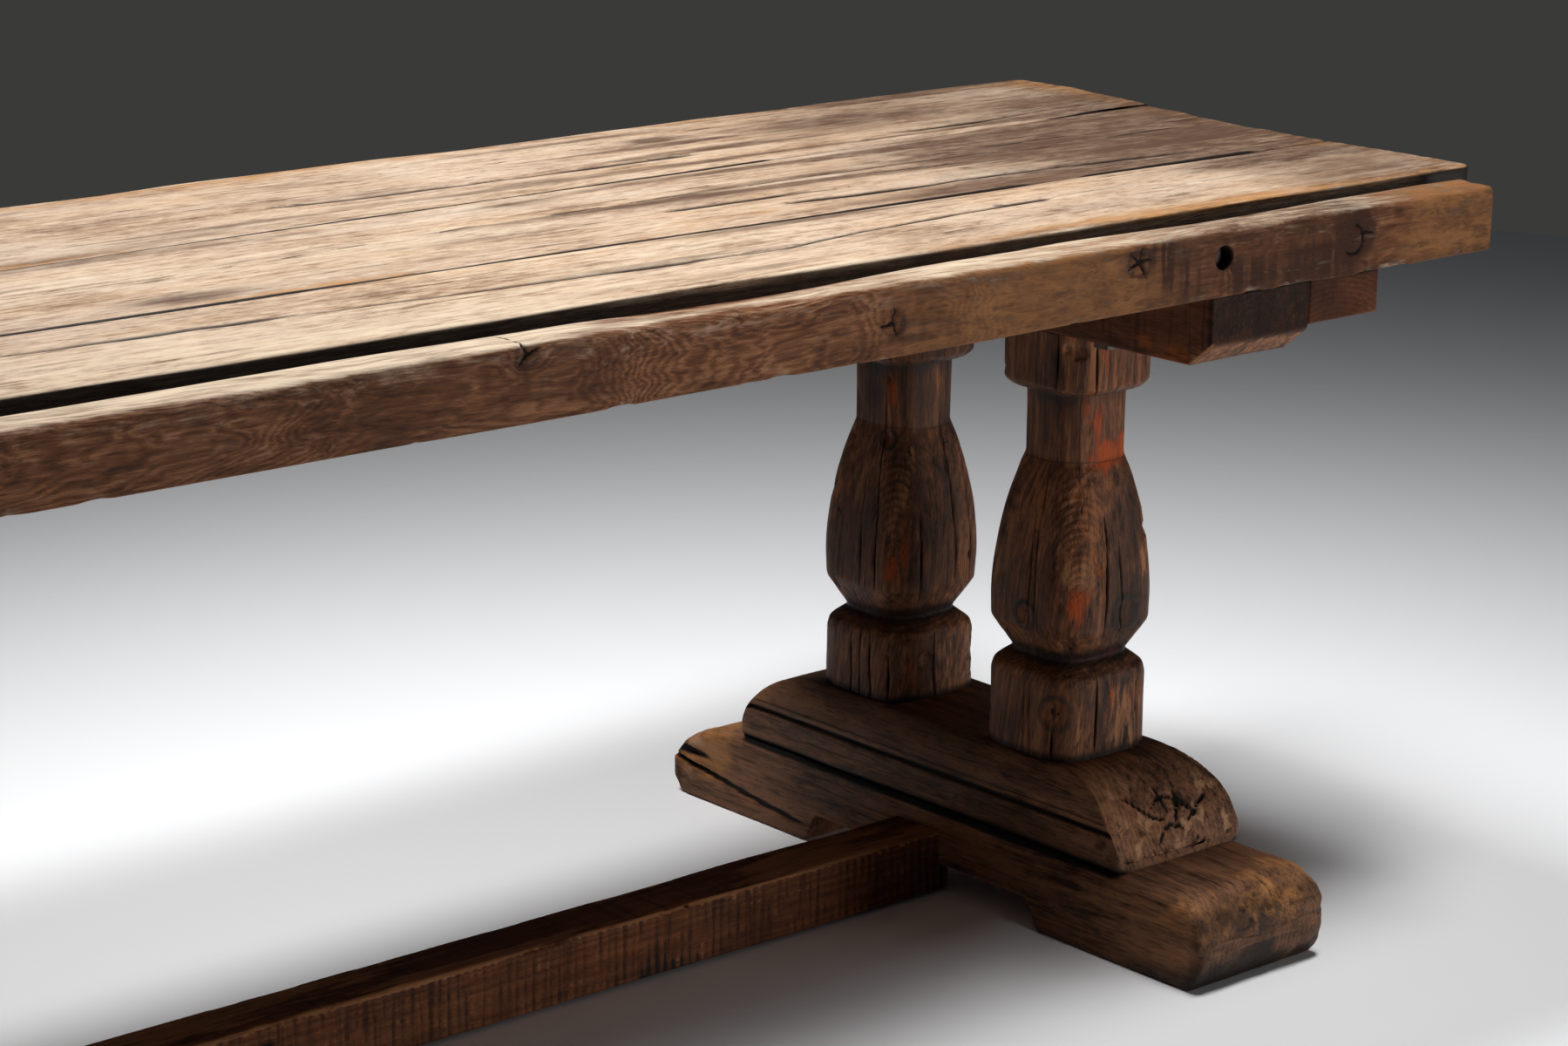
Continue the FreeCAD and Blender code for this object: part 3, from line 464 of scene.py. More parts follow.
def oak_finish(slot):
    """Aged oak: growth rings about the pith, fibres and pores along the grain, then tints, stains, wear, dirt, painted
    light and painted shade.

    The grain mark gives coordinates in metres along and across the grain, measured from the pith. The other marks say
    where a tint, a stain or wear may lie, and noise breaks their edges into patches.
    """
    name = f"{slot}_finish"
    if name in bpy.data.materials:
        return bpy.data.materials[name]
    shades, habits = getattr(bpy.context.scene, slot), dict(zip(HABIT_NAMES, OAK_HABITS[slot]))
    thread, fine, soft = habits["fibre"], habits["fine"], habits["soft"]
    oak = Finish(name)
    grain = oak.add("ShaderNodeAttribute", attribute_name="grain").outputs["Vector"]
    sway = oak.add("ShaderNodeTexNoise", {"Vector": oak.scaled(grain, (1.6, 9.0, 9.0)), "Scale": 1.0, "Detail": 2.0})
    moved = oak.shift("SUBTRACT", sway.outputs["Color"], (0.5, 0.5, 0.5))
    bent = oak.shift("ADD", grain, oak.shift("MULTIPLY", moved, (0.0, 0.016, 0.016)))
    rings = oak.add("ShaderNodeTexWave", {
        "Vector": oak.scaled(bent, (0.05, 1.0, 1.0)), "Scale": habits["pitch"], "Distortion": 4.0, "Detail": 4.0,
        "Detail Scale": 0.8, "Detail Roughness": 0.65},
        wave_type="RINGS", rings_direction="X", wave_profile="SIN").outputs["Fac"]
    fibre = oak.cloud(bent, (26.0, 420.0, 420.0), 4.0, 0.65)
    streak = oak.cloud(bent, (5.0, 85.0, 85.0), 4.0, 0.62)
    pores = oak.cloud(bent, (55.0, 1300.0, 1300.0), 1.0, 0.5)
    blotch = oak.cloud(grain, (4.0, 12.0, 12.0), 5.0, 0.65)
    mottle = oak.cloud(grain, (24.0 * fine, 75.0 * fine, 75.0 * fine), 5.0, 0.70)
    patch = oak.cloud(grain, (11.0 * fine, 38.0 * fine, 38.0 * fine), 5.0, 0.68)
    strand = oak.cloud(bent, (12.0, 170.0, 170.0), 4.0, 0.68)

    figure = oak.maths("MULTIPLY", oak.maths("SUBTRACT", rings, 0.5), oak.span(blotch, 0.36, 0.58, 0.3, 1.0))
    level = oak.weigh([(oak.maths("ADD", figure, 0.5), habits["rings"]), (fibre, 1.2 * thread), (streak, 1.1 * thread),
                       (strand, 1.2 * thread), (blotch, 1.6 * habits["blotch"]), (mottle, 1.2 * habits["mottle"])])
    shade = oak.ramp(level, [(0.10, shades.dark), (0.5, shades.mid), (0.90, shades.light)])
    pits = oak.span(pores, 0.60, 0.72, 0.0, 0.60)
    shade = oak.mix(pits, shade, shades.dark)
    flecks = oak.span(oak.cloud(bent, (40.0, 230.0, 230.0), 3.0, 0.6), 0.60, 0.68, 0.0, habits["fleck"])
    shade = oak.mix(flecks, shade, shades.dark)
    hairs = oak.maths("ABSOLUTE", oak.maths("SUBTRACT", oak.cloud(bent, (1.3, 60.0, 60.0), 2.0, 0.5), 0.5))
    hairs = oak.maths("MULTIPLY", oak.span(hairs, 0.0, 0.014, habits["hair"], 0.0), oak.span(patch, 0.44, 0.60))
    shade = oak.mix(hairs, shade, shades.dirt_and_shade)
    if habits["saw"]:
        saw = oak.cloud(grain, (130.0, 6.0, 9.0), 2.0, 0.5)
        shade = oak.mix(oak.span(saw, 0.52, 0.70, 0.0, habits["saw"]), shade, shades.dark)

    cast = oak.ramp(oak.cloud(grain, (3.0, 15.0, 15.0), 4.0, 0.6), [
        (0.32, (1.00, 0.93, 0.82)), (0.50, (0.99, 0.98, 0.97)), (0.68, (0.93, 0.96, 1.00))])
    shade = oak.mix(0.8, shade, cast, "MULTIPLY")

    def broken(mark, parts, middle, reach):
        """A mark's edge, broken by noise: from 0 to 1 within a reach of its middle."""
        value = oak.weigh([*parts, (strand, 0.7), (fibre, 0.4)], oak.mark(mark))
        return oak.span(value, middle - reach, middle + reach)

    darker = oak.span(oak.weigh([(mottle, 0.7), (strand, 0.7)]), 0.40, 0.72, 0.0, 0.85)
    shade = oak.mix(broken("tint", [(patch, 0.9)], 0.43, 0.13 * soft), shade, oak.mix(darker, shades.tint, shades.dark))
    # The stain, wear and dirt marks carry real stains, rubbing, cracks and joints, and also the painted shade and
    # painted light that the pieces put into them.
    shade = oak.mix(broken("stain", [(patch, 0.7), (mottle, 0.8)], 0.5, 0.42), shade, shades.stain)
    rubbed = broken("wear", [(mottle, 0.7)], 0.45, 0.17 * soft)
    shade = oak.mix(rubbed, shade, oak.mix(oak.span(strand, 0.35, 0.60, 0.45, 0.0), shades.wear, shades.mid))
    dirt_and_shade_share = oak.span(oak.weigh([(fibre, 0.35)], oak.mark("dirt_and_shade")), 0.12, 0.72)
    shade = oak.mix(dirt_and_shade_share, shade, shades.dirt_and_shade)

    gloss = oak.span(fibre, 0.2, 0.8, habits["rough"] - 0.08, habits["rough"] + 0.18)
    relief = oak.weigh([(rings, 0.35), (fibre, 1.0), (mottle, 0.8), (strand, 0.8), (pits, -0.9), (flecks, -0.7),
                        (hairs, -1.2)])
    oak.wire(Base_Color=shade, Roughness=gloss, Normal=oak.bump(relief, habits["relief"], 0.0010),
             Specular_IOR_Level=habits["shine"])
    return oak.material


def iron_finish():
    """Dull forged iron: dark scale broken by rust, on the piece's own place."""
    shades = bpy.context.scene.table_stage
    iron = Finish("spike_iron_finish")
    place = iron.add("ShaderNodeTexCoord").outputs["Object"]
    scale = iron.cloud(place, (160.0, 160.0, 160.0), 5.0, 0.65)
    shade = iron.mix(iron.span(scale, 0.42, 0.66), shades.iron, shades.rust)
    iron.wire(Base_Color=shade, Roughness=iron.span(scale, 0.3, 0.7, 0.45, 0.8), Metallic=0.85,
              Normal=iron.bump(scale, 0.5, 0.0006))
    return iron.material


def inner_finish():
    """Bare oak of the tongues, wedges and pegs: fine fibres, from dark to pale."""
    shades = bpy.context.scene.table_stage
    bare = Finish("inner_oak_finish")
    place = bare.add("ShaderNodeTexCoord").outputs["Object"]
    fibre = bare.cloud(place, (60.0, 60.0, 500.0), 4.0, 0.6)
    pale = tuple(min(1.0, 1.35 * share) for share in shades.inner)
    dark = tuple(0.55 * share for share in shades.inner)
    shade = bare.ramp(fibre, [(0.3, dark), (0.5, tuple(shades.inner)), (0.75, pale)])
    bare.wire(Base_Color=shade, Roughness=bare.span(fibre, 0.3, 0.7, 0.55, 0.75), Normal=bare.bump(fibre, 0.3, 0.0004))
    return bare.material


def crack_lines(far, near, cracks, places, spacing, seed):
    """Lines across a plank's top, from its far side to its near side, with a bundle of seven along each crack.

    A crack's bundle lies at its path plus or minus its half width; the rest are spread evenly between the bundles.
    Returns where each line runs and how deep it is sunk, from 0 to 1.
    """
    offsets = np.array([1.0, 0.6, 0.25, 0.0, -0.25, -0.6, -1.0])
    depths = np.array([0.0, 0.35, 0.9, 1.0, 0.9, 0.35, 0.0])
    columns, sunk = [], []
    edge = far
    ordered = sorted(cracks, key=lambda crack: -np.mean(np.array(crack["path"])[:, 1]))
    for number, crack in enumerate(ordered + [None]):
        if crack:
            spots = np.array(crack["path"])
            wobble = noise(lengthwise(places, 22.0), seed + number)
            middle = np.interp(places, spots[:, 0], spots[:, 1]) + 0.0016 * wobble
            swell = 0.85 + 0.3 * noise(lengthwise(places, 14.0) + (0.0, 5.0, 0.0), seed + number)
            start, finish = crack.get("open", (spots[0, 0], spots[-1, 0]))
            inside = between(start, start + OPEN_FADE, finish - OPEN_FADE, finish, places)
            opened = np.clip(inside * swell, 0.0, 1.0)
            half = 0.0006 + 2.2 * crack["half_width"] * opened
            limit = middle + half
        else:
            limit = near
        count = max(2, int(np.mean(edge - limit) / spacing))
        share = (np.arange(count) + 1.0) / (count + 1.0)
        columns.append(edge[:, None] + (limit - edge)[:, None] * share)
        sunk.append(np.zeros((len(places), count)))
        if crack:
            columns.append(middle[:, None] + half[:, None] * offsets)
            sunk.append(opened[:, None] * depths * crack["depth"])
            edge = middle - half
    return np.hstack(columns), np.hstack(sunk)


def blot(x, y, spots):
    """Soft oval blots: each spot's strength times exp(-((x - x0) / a)^2 - ((y - y0) / b)^2), the largest kept."""
    total = np.zeros(np.broadcast(x, y).shape)
    for x0, y0, a, b, strength in spots:
        total = np.maximum(total, strength * np.exp(-((x - x0) / a) ** 2 - ((y - y0) / b) ** 2))
    return total


# Length over which a crack or a joint closes at its ends.
OPEN_FADE = 0.04


def open_share(places, spans):
    """How far a joint stands open along the table: 1 in each span, falling to 0 within 40 mm of its ends."""
    return np.maximum.reduce([between(start - OPEN_FADE, start, finish, finish + OPEN_FADE, places)
                              for start, finish in spans])


# Cracks of each plank: the path along the table and across it, half the mouth's width, a share of the full depth and,
# where the path runs on shut, the stretch that stands open.
CRACKS = {
    "near_plank": [
        {"path": [(-0.62, -0.192), (-0.216, -0.186), (0.014, -0.196), (0.224, -0.212), (0.575, -0.226), (0.763, -0.199),
                  (0.975, -0.186)], "half_width": 0.0036, "depth": 0.5},
        {"path": [(-1.30, -0.262), (-1.05, -0.255), (-0.84, -0.258)], "half_width": 0.0030, "depth": 0.5},
    ],
    "middle_plank": [
        {"path": [(0.585, -0.018), (0.681, -0.014), (0.760, -0.013), (0.850, -0.022)],
         "half_width": 0.0040, "depth": 1.0},
        {"path": [(0.70, -0.051), (0.884, -0.061), (1.008, -0.059), (1.254, -0.078), (1.32, -0.085)],
         "half_width": 0.0038, "depth": 0.8},
        {"path": [(-0.55, 0.012), (-0.108, 0.010), (0.114, 0.012), (0.41, 0.051), (0.80, 0.075)],
         "half_width": 0.0030, "depth": 0.4, "open": (-0.55, 0.41)},
        {"path": [(-0.60, -0.004), (0.10, -0.004), (0.41, 0.008), (0.80, 0.026), (0.90, 0.029), (0.957, 0.026),
                  (1.035, 0.018)], "half_width": 0.0034, "depth": 0.8, "open": (0.90, 1.05)},
        {"path": [(-0.60, 0.004), (0.10, 0.004), (0.41, 0.030), (0.80, 0.048), (1.10, 0.045), (1.16, 0.038),
                  (1.21, 0.050), (1.29, 0.041)], "half_width": 0.0034, "depth": 0.8, "open": (1.09, 1.30)},
        {"path": [(-1.42, -0.038), (-1.2, -0.034), (-0.93, -0.030)], "half_width": 0.0018, "depth": 0.9},
    ],
    "far_plank": [
        {"path": [(0.965, 0.192), (1.03, 0.186), (1.075, 0.180)], "half_width": 0.0034, "depth": 0.9},
        {"path": [(0.30, 0.236), (0.55, 0.228), (0.86, 0.222)], "half_width": 0.0034, "depth": 0.7},
        {"path": [(0.90, 0.206), (1.05, 0.200), (1.20, 0.203), (1.327, 0.210)],
         "half_width": 0.0034, "depth": 0.8, "open": (1.08, 1.34)},
        {"path": [(-1.46, 0.262), (-1.2, 0.252), (-0.95, 0.25)], "half_width": 0.0016, "depth": 0.9},
    ],
}
# The far joint's slope and where it crosses the middle of the table, and the width of both joints.
FAR_JOINT_SLOPE = 100.0 / 3000.0
FAR_JOINT_MIDDLE, JOINT_GAP = 0.120, 0.003
# Stretches along the table where each joint stands open.
NEAR_JOINT_OPEN = [(-1.60, 0.975), (1.09, 1.325)]
FAR_JOINT_OPEN = [(-1.60, 0.86), (1.335, 1.60)]
# The back edge of the top, at its left and its right end, and the rounding of its corners.
TOP_BACK = (0.384, 0.414)
TOP_CORNER = 0.018
# Each plank's outer sides, how far its right end runs out, how strongly its ends are stained and from where along the
# table, and how pale and how warm its top is; the paleness is partly real wear and partly painted light.
PLANK_HABITS = {
    "near_plank": {"outer": ("near",), "skew": 0.0, "end_stain": 0.50, "stain_from": 1.10, "pale": 0.30, "warm": 0.0},
    "middle_plank": {"outer": (), "skew": 0.020, "end_stain": 0.70, "stain_from": 0.65, "pale": 0.22, "warm": 0.02},
    "far_plank": {"outer": ("far",), "skew": 0.040, "end_stain": 0.44, "stain_from": 0.65, "pale": 0.12, "warm": 0.12},
}
# Stains on the planks: place along the table and across it, reach along and across, strength.
PLANK_STAINS = [
    (0.031, -0.086, 0.075, 0.022, 0.85), (0.864, 0.321, 0.035, 0.016, 0.9), (0.526, 0.105, 0.050, 0.020, 0.45),
    (0.36, -0.02, 0.20, 0.012, 0.45), (0.20, 0.16, 0.16, 0.016, 0.35), (0.95, -0.10, 0.25, 0.030, 0.55),
    (1.18, 0.06, 0.20, 0.050, 0.55), (1.36, -0.02, 0.12, 0.070, 0.65), (1.40, 0.24, 0.09, 0.060, 0.45),
    (1.12, 0.30, 0.14, 0.040, 0.40), (1.30, -0.16, 0.16, 0.024, 0.50), (0.70, 0.02, 0.18, 0.020, 0.40),
    (-0.42, 0.22, 0.12, 0.03, 0.5), (-0.70, -0.05, 0.16, 0.03, 0.5), (-1.10, 0.10, 0.2, 0.05, 0.5),
    (-1.30, -0.22, 0.12, 0.04, 0.5), (1.011, -0.008, 0.005, 0.003, 1.2), (0.60, 0.20, 0.06, 0.008, 0.6),
    (0.44, 0.245, 0.07, 0.008, 0.5), (0.30, -0.075, 0.10, 0.008, 0.5), (0.16, 0.02, 0.10, 0.010, 0.4),
]
# Honey-coloured patches, listed as the stains are.
PLANK_HONEY = [
    (0.250, -0.209, 0.090, 0.006, 0.7), (-0.045, -0.226, 0.040, 0.010, 0.7), (0.10, -0.108, 0.16, 0.012, 0.5),
    (0.24, -0.085, 0.05, 0.008, 0.6), (0.35, 0.115, 0.20, 0.012, 0.5), (-0.05, 0.135, 0.12, 0.014, 0.5),
    (0.52, -0.11, 0.18, 0.010, 0.5), (-0.60, -0.22, 0.10, 0.012, 0.5), (-0.9, 0.02, 0.12, 0.014, 0.5),
]


def plank_sides(name, places, low, high, seed):
    """Where a plank's near and far side run.

    A joint's sides close in on each other where the photographed joint is packed with dirt, and the far joint is a
    straight line out of parallel; an outer edge wanders by noise and turns in at its corners.
    """
    joint = FAR_JOINT_MIDDLE + FAR_JOINT_SLOPE * places
    near_shut = (1.0 - open_share(places, NEAR_JOINT_OPEN)) * JOINT_GAP / 2
    far_shut = (1.0 - 0.75 * open_share(places, FAR_JOINT_OPEN)) * JOINT_GAP / 2
    wander = 0.0022 * noise(lengthwise(places, 3.1), seed) + 0.0010 * noise(lengthwise(places, 11.0), seed + 3)
    corner = round_in(np.minimum(places - places[0], places[-1] - places), TOP_CORNER)
    if name == "near_plank":
        return low[1] + wander + corner, high[1] + near_shut
    if name == "middle_plank":
        return low[1] - near_shut, joint + far_shut
    back = np.interp(places, [low[0], high[0]], TOP_BACK)
    return joint + JOINT_GAP - far_shut + 0.010 * smooth(1.26, 1.46, places), back + wander - corner


def plank_piece(name, seed):
    """One plank: rings of a rounded rectangle along the table, its top lines bent along the cracks.

    The top is lowered by hollows, cracks and the wear of its outer arrises; the right end runs out to the back as it
    was sawn.
    """
    sizes, habits = bpy.context.scene.table_wear, PLANK_HABITS[name]
    near_outer, far_outer = "near" in habits["outer"], "far" in habits["outer"]
    low, high = corners(name)
    places, inset = rounded_ends(stations(low[0], high[0], 0.0068), 0.007)
    near, far = plank_sides(name, places, low, high, seed)
    near, far = near + inset, far - inset
    radius_near = 0.5 * sizes.plank_arris if near_outer else 0.0034
    radius_far = sizes.plank_arris if far_outer else 0.0016
    lines, sunk = crack_lines(far - radius_far, near + radius_near, CRACKS[name], places, 0.0031, seed)
    rows = section(9, lines.shape[1], 9, 18, corner=6)
    radius = np.where(rows[:, 0] > 0.0, radius_far, radius_near) * np.where(rows[:, 1] > 0.0, 1.0, 0.5)
    roll = 1.0 + 0.5 * noise(lengthwise(places, 9.0), seed + 5)[:, None]
    radius = np.maximum(radius * roll, 0.0012)
    across, up = bar(rows, ((near + far) / 2.0)[:, None], ((far - near) / 2.0)[:, None],
                     low[2] + inset[:, None], high[2] - inset[:, None], radius)
    top = (rows[:, 3] == 1.0) & (rows[:, 2] == 0.0)
    across[:, top] = lines

    along = ring_places(places, across)
    share = np.clip((across - near.min()) / (np.median(far) - near.min()), 0.0, 1.0)
    run_out = habits["skew"] * (1.0 - (np.clip(share / 0.75, 0.0, 1.0) if far_outer else share))
    ragged = 0.004 * noise(lengthwise(across, 14.0), seed + 9)
    along = along - (run_out + np.abs(ragged)) * smooth(high[0] - 0.35, high[0], along)

    upper = smooth(high[2] - 0.012, high[2] - 0.002, up)
    spots = np.stack([along, across, up], axis=-1)
    hollow = np.clip(0.6 + 0.7 * layered(spots * (2.2, 9.0, 0.0), seed + 11), 0.0, 2.0)
    fibres = noise(spots * (9.0, 160.0, 0.0), seed + 13)
    up = up - upper * (sizes.hollow * hollow + 0.00022 * (fibres + 1.0))
    depth = np.zeros_like(up)
    depth[:, top] = sunk
    up = up - sizes.crack * depth
    side = np.abs(rows[:, 2]) * (1.0 - upper)
    across = across + np.sign(rows[:, 2]) * side * 0.0008 * noise(spots * (5.0, 0.0, 90.0), seed + 15)

    from_near, from_far = np.abs(across - near[:, None]), np.abs(across - far[:, None])
    edge = np.maximum(near_outer * smooth(0.016, 0.0, from_near), far_outer * smooth(0.016, 0.0, from_far)) * upper
    rub = rubbing(spots, (7.0, 60.0, 0.0), seed + 19, 0.55, 0.6)
    broad = layered(spots * (1.3, 7.0, 0.0), seed + 37)
    # Partly painted light: the top is paled in the wear colour, most on the near plank and towards the left, for real
    # wear and for the pool of light there.
    paler_wear_and_light = (habits["pale"] + 0.22 * broad) * smooth(1.25, 0.2, along) * upper

    end_band = 0.75 * smooth(0.10, 0.0, np.minimum(along - low[0], high[0] - run_out - along))
    near_band = (0.20 + 0.65 * smooth(0.45, 1.0, along)) * near_outer * smooth(0.055, 0.0, from_near)
    far_band = 0.35 * far_outer * smooth(0.055, 0.0, from_far)
    honey = 0.75 * np.maximum.reduce([end_band, near_band, far_band]) + 0.7 * blot(along, across, PLANK_HONEY)
    honey = honey + habits["warm"] - 0.15 * broad + 0.3 * patches(spots, (1.8, 26.0, 0.0), seed + 31, 0.4, 1.1)

    stain = blot(along, across, PLANK_STAINS) + 0.55 * patches(spots, (2.4, 38.0, 0.0), seed + 23, 0.35, 0.95)
    stain = stain + habits["end_stain"] * smooth(habits["stain_from"], 1.30, np.abs(along))
    stain = np.clip(stain, 0.0, 0.70) + 0.30 * np.clip(stain - 0.9, 0.0, 1.0)

    opened = open_share(places, NEAR_JOINT_OPEN if name == "middle_plank" else FAR_JOINT_OPEN)[:, None]
    joint_dirt = smooth(0.15, 0.5, np.abs(rows[:, 2])) * np.where(upper > 0.5, opened, 1.0)
    joint_side = np.where(rows[:, 0] < 0.0, not near_outer, not far_outer)
    # Painted shade: the near plank's near side, in the gap behind the edge beam, is darkened in the dirt colour, a
    # little less high up towards the right and more at the right end.
    gap_side_shade = 0.66 - 0.14 * smooth(0.0, 0.8, along) * smooth(low[2] + 0.040, high[2], up)
    gap_side_shade = gap_side_shade * near_outer * smooth(0.60, 0.90, -rows[:, 2]) * (1.0 + 0.4 * smooth(1.33, 1.41, along))
    gap_side_shade = gap_side_shade * smooth(high[2] - 0.0012, high[2] - 0.0035, up)
    under = 1.0 - smooth(low[2] + 0.02, high[2] - 0.006, up)
    outer_side = near_outer * np.clip(-rows[:, 2], 0.0, 1.0) + far_outer * np.clip(rows[:, 2], 0.0, 1.0)
    marks = {
        "wear": np.maximum(0.8 * edge * rub * (1.0 - 0.6 * smooth(0.6, 1.1, along)), paler_wear_and_light),
        "tint": honey * upper + 0.75 * under * outer_side,
        "stain": stain * upper + 0.85 * under * (1.0 - 0.6 * outer_side),
        "dirt_and_shade": np.maximum.reduce([np.clip(3.2 * depth, 0.0, 1.0), joint_dirt * joint_side, gap_side_shade]),
    }
    pith = (-3.7 * seed, (low[1] + high[1]) / 2.0 + 0.03 * (seed % 3 - 1), 0.60)
    skin_piece(name, np.stack([along, across, up], axis=-1), marks, straight_grain([0, 1, 2], pith), "plank_oak")


class TABLE_OT_planks(bpy.types.Operator):
    """Makes the three worn planks of the top"""
    bl_idname = "table.planks"
    bl_label = "Planks"

    def execute(self, context):
        for seed, name in enumerate(("near_plank", "middle_plank", "far_plank"), start=1):
            plank_piece(name, seed)
        return {"FINISHED"}


# Knots on the edge beam's front: place along the table, height, radius and the turns of the cracks, in degrees.
BEAM_KNOTS = [
    (0.877, 0.754, 0.017, (10, 75, 140, 200, 300)), (1.192, 0.746, 0.021, (5,)),
    (0.156, 0.764, 0.013, (20, 110, 230)), (0.564, 0.738, 0.015, (80, 190, 290)),
    (-0.52, 0.742, 0.016, (30, 150, 260)), (-1.12, 0.756, 0.018, (0, 100, 215, 310)),
]
# Stains on the edge beam's front: place along the table, height, reach along and up, strength.
BEAM_STAINS = [
    (0.925, 0.742, 0.050, 0.045, 1.2), (1.03, 0.724, 0.055, 0.026, 1.1), (1.115, 0.722, 0.060, 0.030, 1.6),
    (1.180, 0.745, 0.030, 0.050, 1.6), (0.60, 0.735, 0.050, 0.030, 0.5), (0.15, 0.745, 0.040, 0.030, 0.6),
    (0.22, 0.725, 0.06, 0.012, 0.6), (-0.15, 0.735, 0.07, 0.010, 0.5), (-0.95, 0.742, 0.06, 0.035, 0.7),
]
# Cracks along a knot's rings: place along the table, height, radius, first and last turn in degrees.
BEAM_RINGS = [(1.180, 0.742, 0.015, -125.0, 75.0)]
# Radius of the counterbores in the beam's front, half a washer, and the wall's ripples: height and pitch.
BORE, HALF_WASHER = 0.0125, 0.012
RIPPLE, RIPPLE_PITCH = 0.0004, 0.0045


def beam_knots(along, up, spots, seed):
    """The knots on the edge beam's front: how far they are pressed in, their dark rings and their cracks, from 0 to 1.

    At a distance d from a knot of radius r, its ring is exp(-((d - 0.85 r) / (0.25 r))^2). Its cracks run out from its
    middle and narrow as they go, or follow a ring between two turns.
    """
    pit, halo, cracks = np.zeros_like(along), np.zeros_like(along), np.zeros_like(along)
    for number, (x0, z0, size, turns) in enumerate(BEAM_KNOTS):
        dx, dz = along - x0, up - z0
        reach = np.hypot(dx, 1.15 * dz)
        halo = np.maximum(halo, 0.5 * np.exp(-(reach / (1.2 * size)) ** 2))
        halo = np.maximum(halo, np.exp(-((reach - 0.85 * size) / (0.25 * size)) ** 2))
        pit = np.maximum(pit, smooth(size, 0.4 * size, reach) * 0.5)
        for turn in np.radians(turns):
            beside = np.abs(-np.sin(turn) * dx + np.cos(turn) * dz + 0.0015 * noise(spots * 120.0, seed + number))
            ahead = np.cos(turn) * dx + np.sin(turn) * dz
            mouth = 0.0015 * smooth(1.2 * size, 0.1 * size, ahead)
            cracks = np.maximum(cracks, smooth(mouth + 0.0008, 0.4 * mouth, beside) * (ahead > -0.001)
                                * smooth(1.2 * size, 0.8 * size, ahead))
    for x0, z0, size, first, last in BEAM_RINGS:
        turn = np.degrees(np.arctan2(up - z0, along - x0))
        reach = np.hypot(along - x0, up - z0) + 0.0012 * noise(spots * 90.0, seed + 21)
        held = between(first - 12.0, first + 12.0, last - 12.0, last + 12.0, turn)
        cracks = np.maximum(cracks, smooth(0.0022, 0.0007, np.abs(reach - size)) * held)
    return pit, halo, cracks


def bore_rings(edge, place, height, floor_level):
    """Rings that pass from a block's outline to a bore, down its wall and over its floor.

    An auger has left the wall wavy: at a turn t its radius is r - a + a cos(t - 2 pi depth / pitch).
    """
    angle = np.arctan2(edge[:, 2] - height, edge[:, 0] - place)
    face_level = edge[:, 1].mean()

    def ring(radius, level):
        return np.column_stack([place + radius * np.cos(angle), np.full(len(edge), level),
                                height + radius * np.sin(angle)])

    rings = [edge + (ring(BORE, face_level) - edge) * share for share in (0.4, 0.75, 0.93)]
    for depth in np.linspace(0.0006, floor_level - face_level, 14):
        wave = BORE - RIPPLE + RIPPLE * np.cos(angle - depth * 2.0 * math.pi / RIPPLE_PITCH)
        rings.append(ring(wave, face_level + depth))
    floor = rings[-1]
    return np.array(rings + [floor + (floor.mean(axis=0) - floor) * share for share in (0.4, 0.8)])


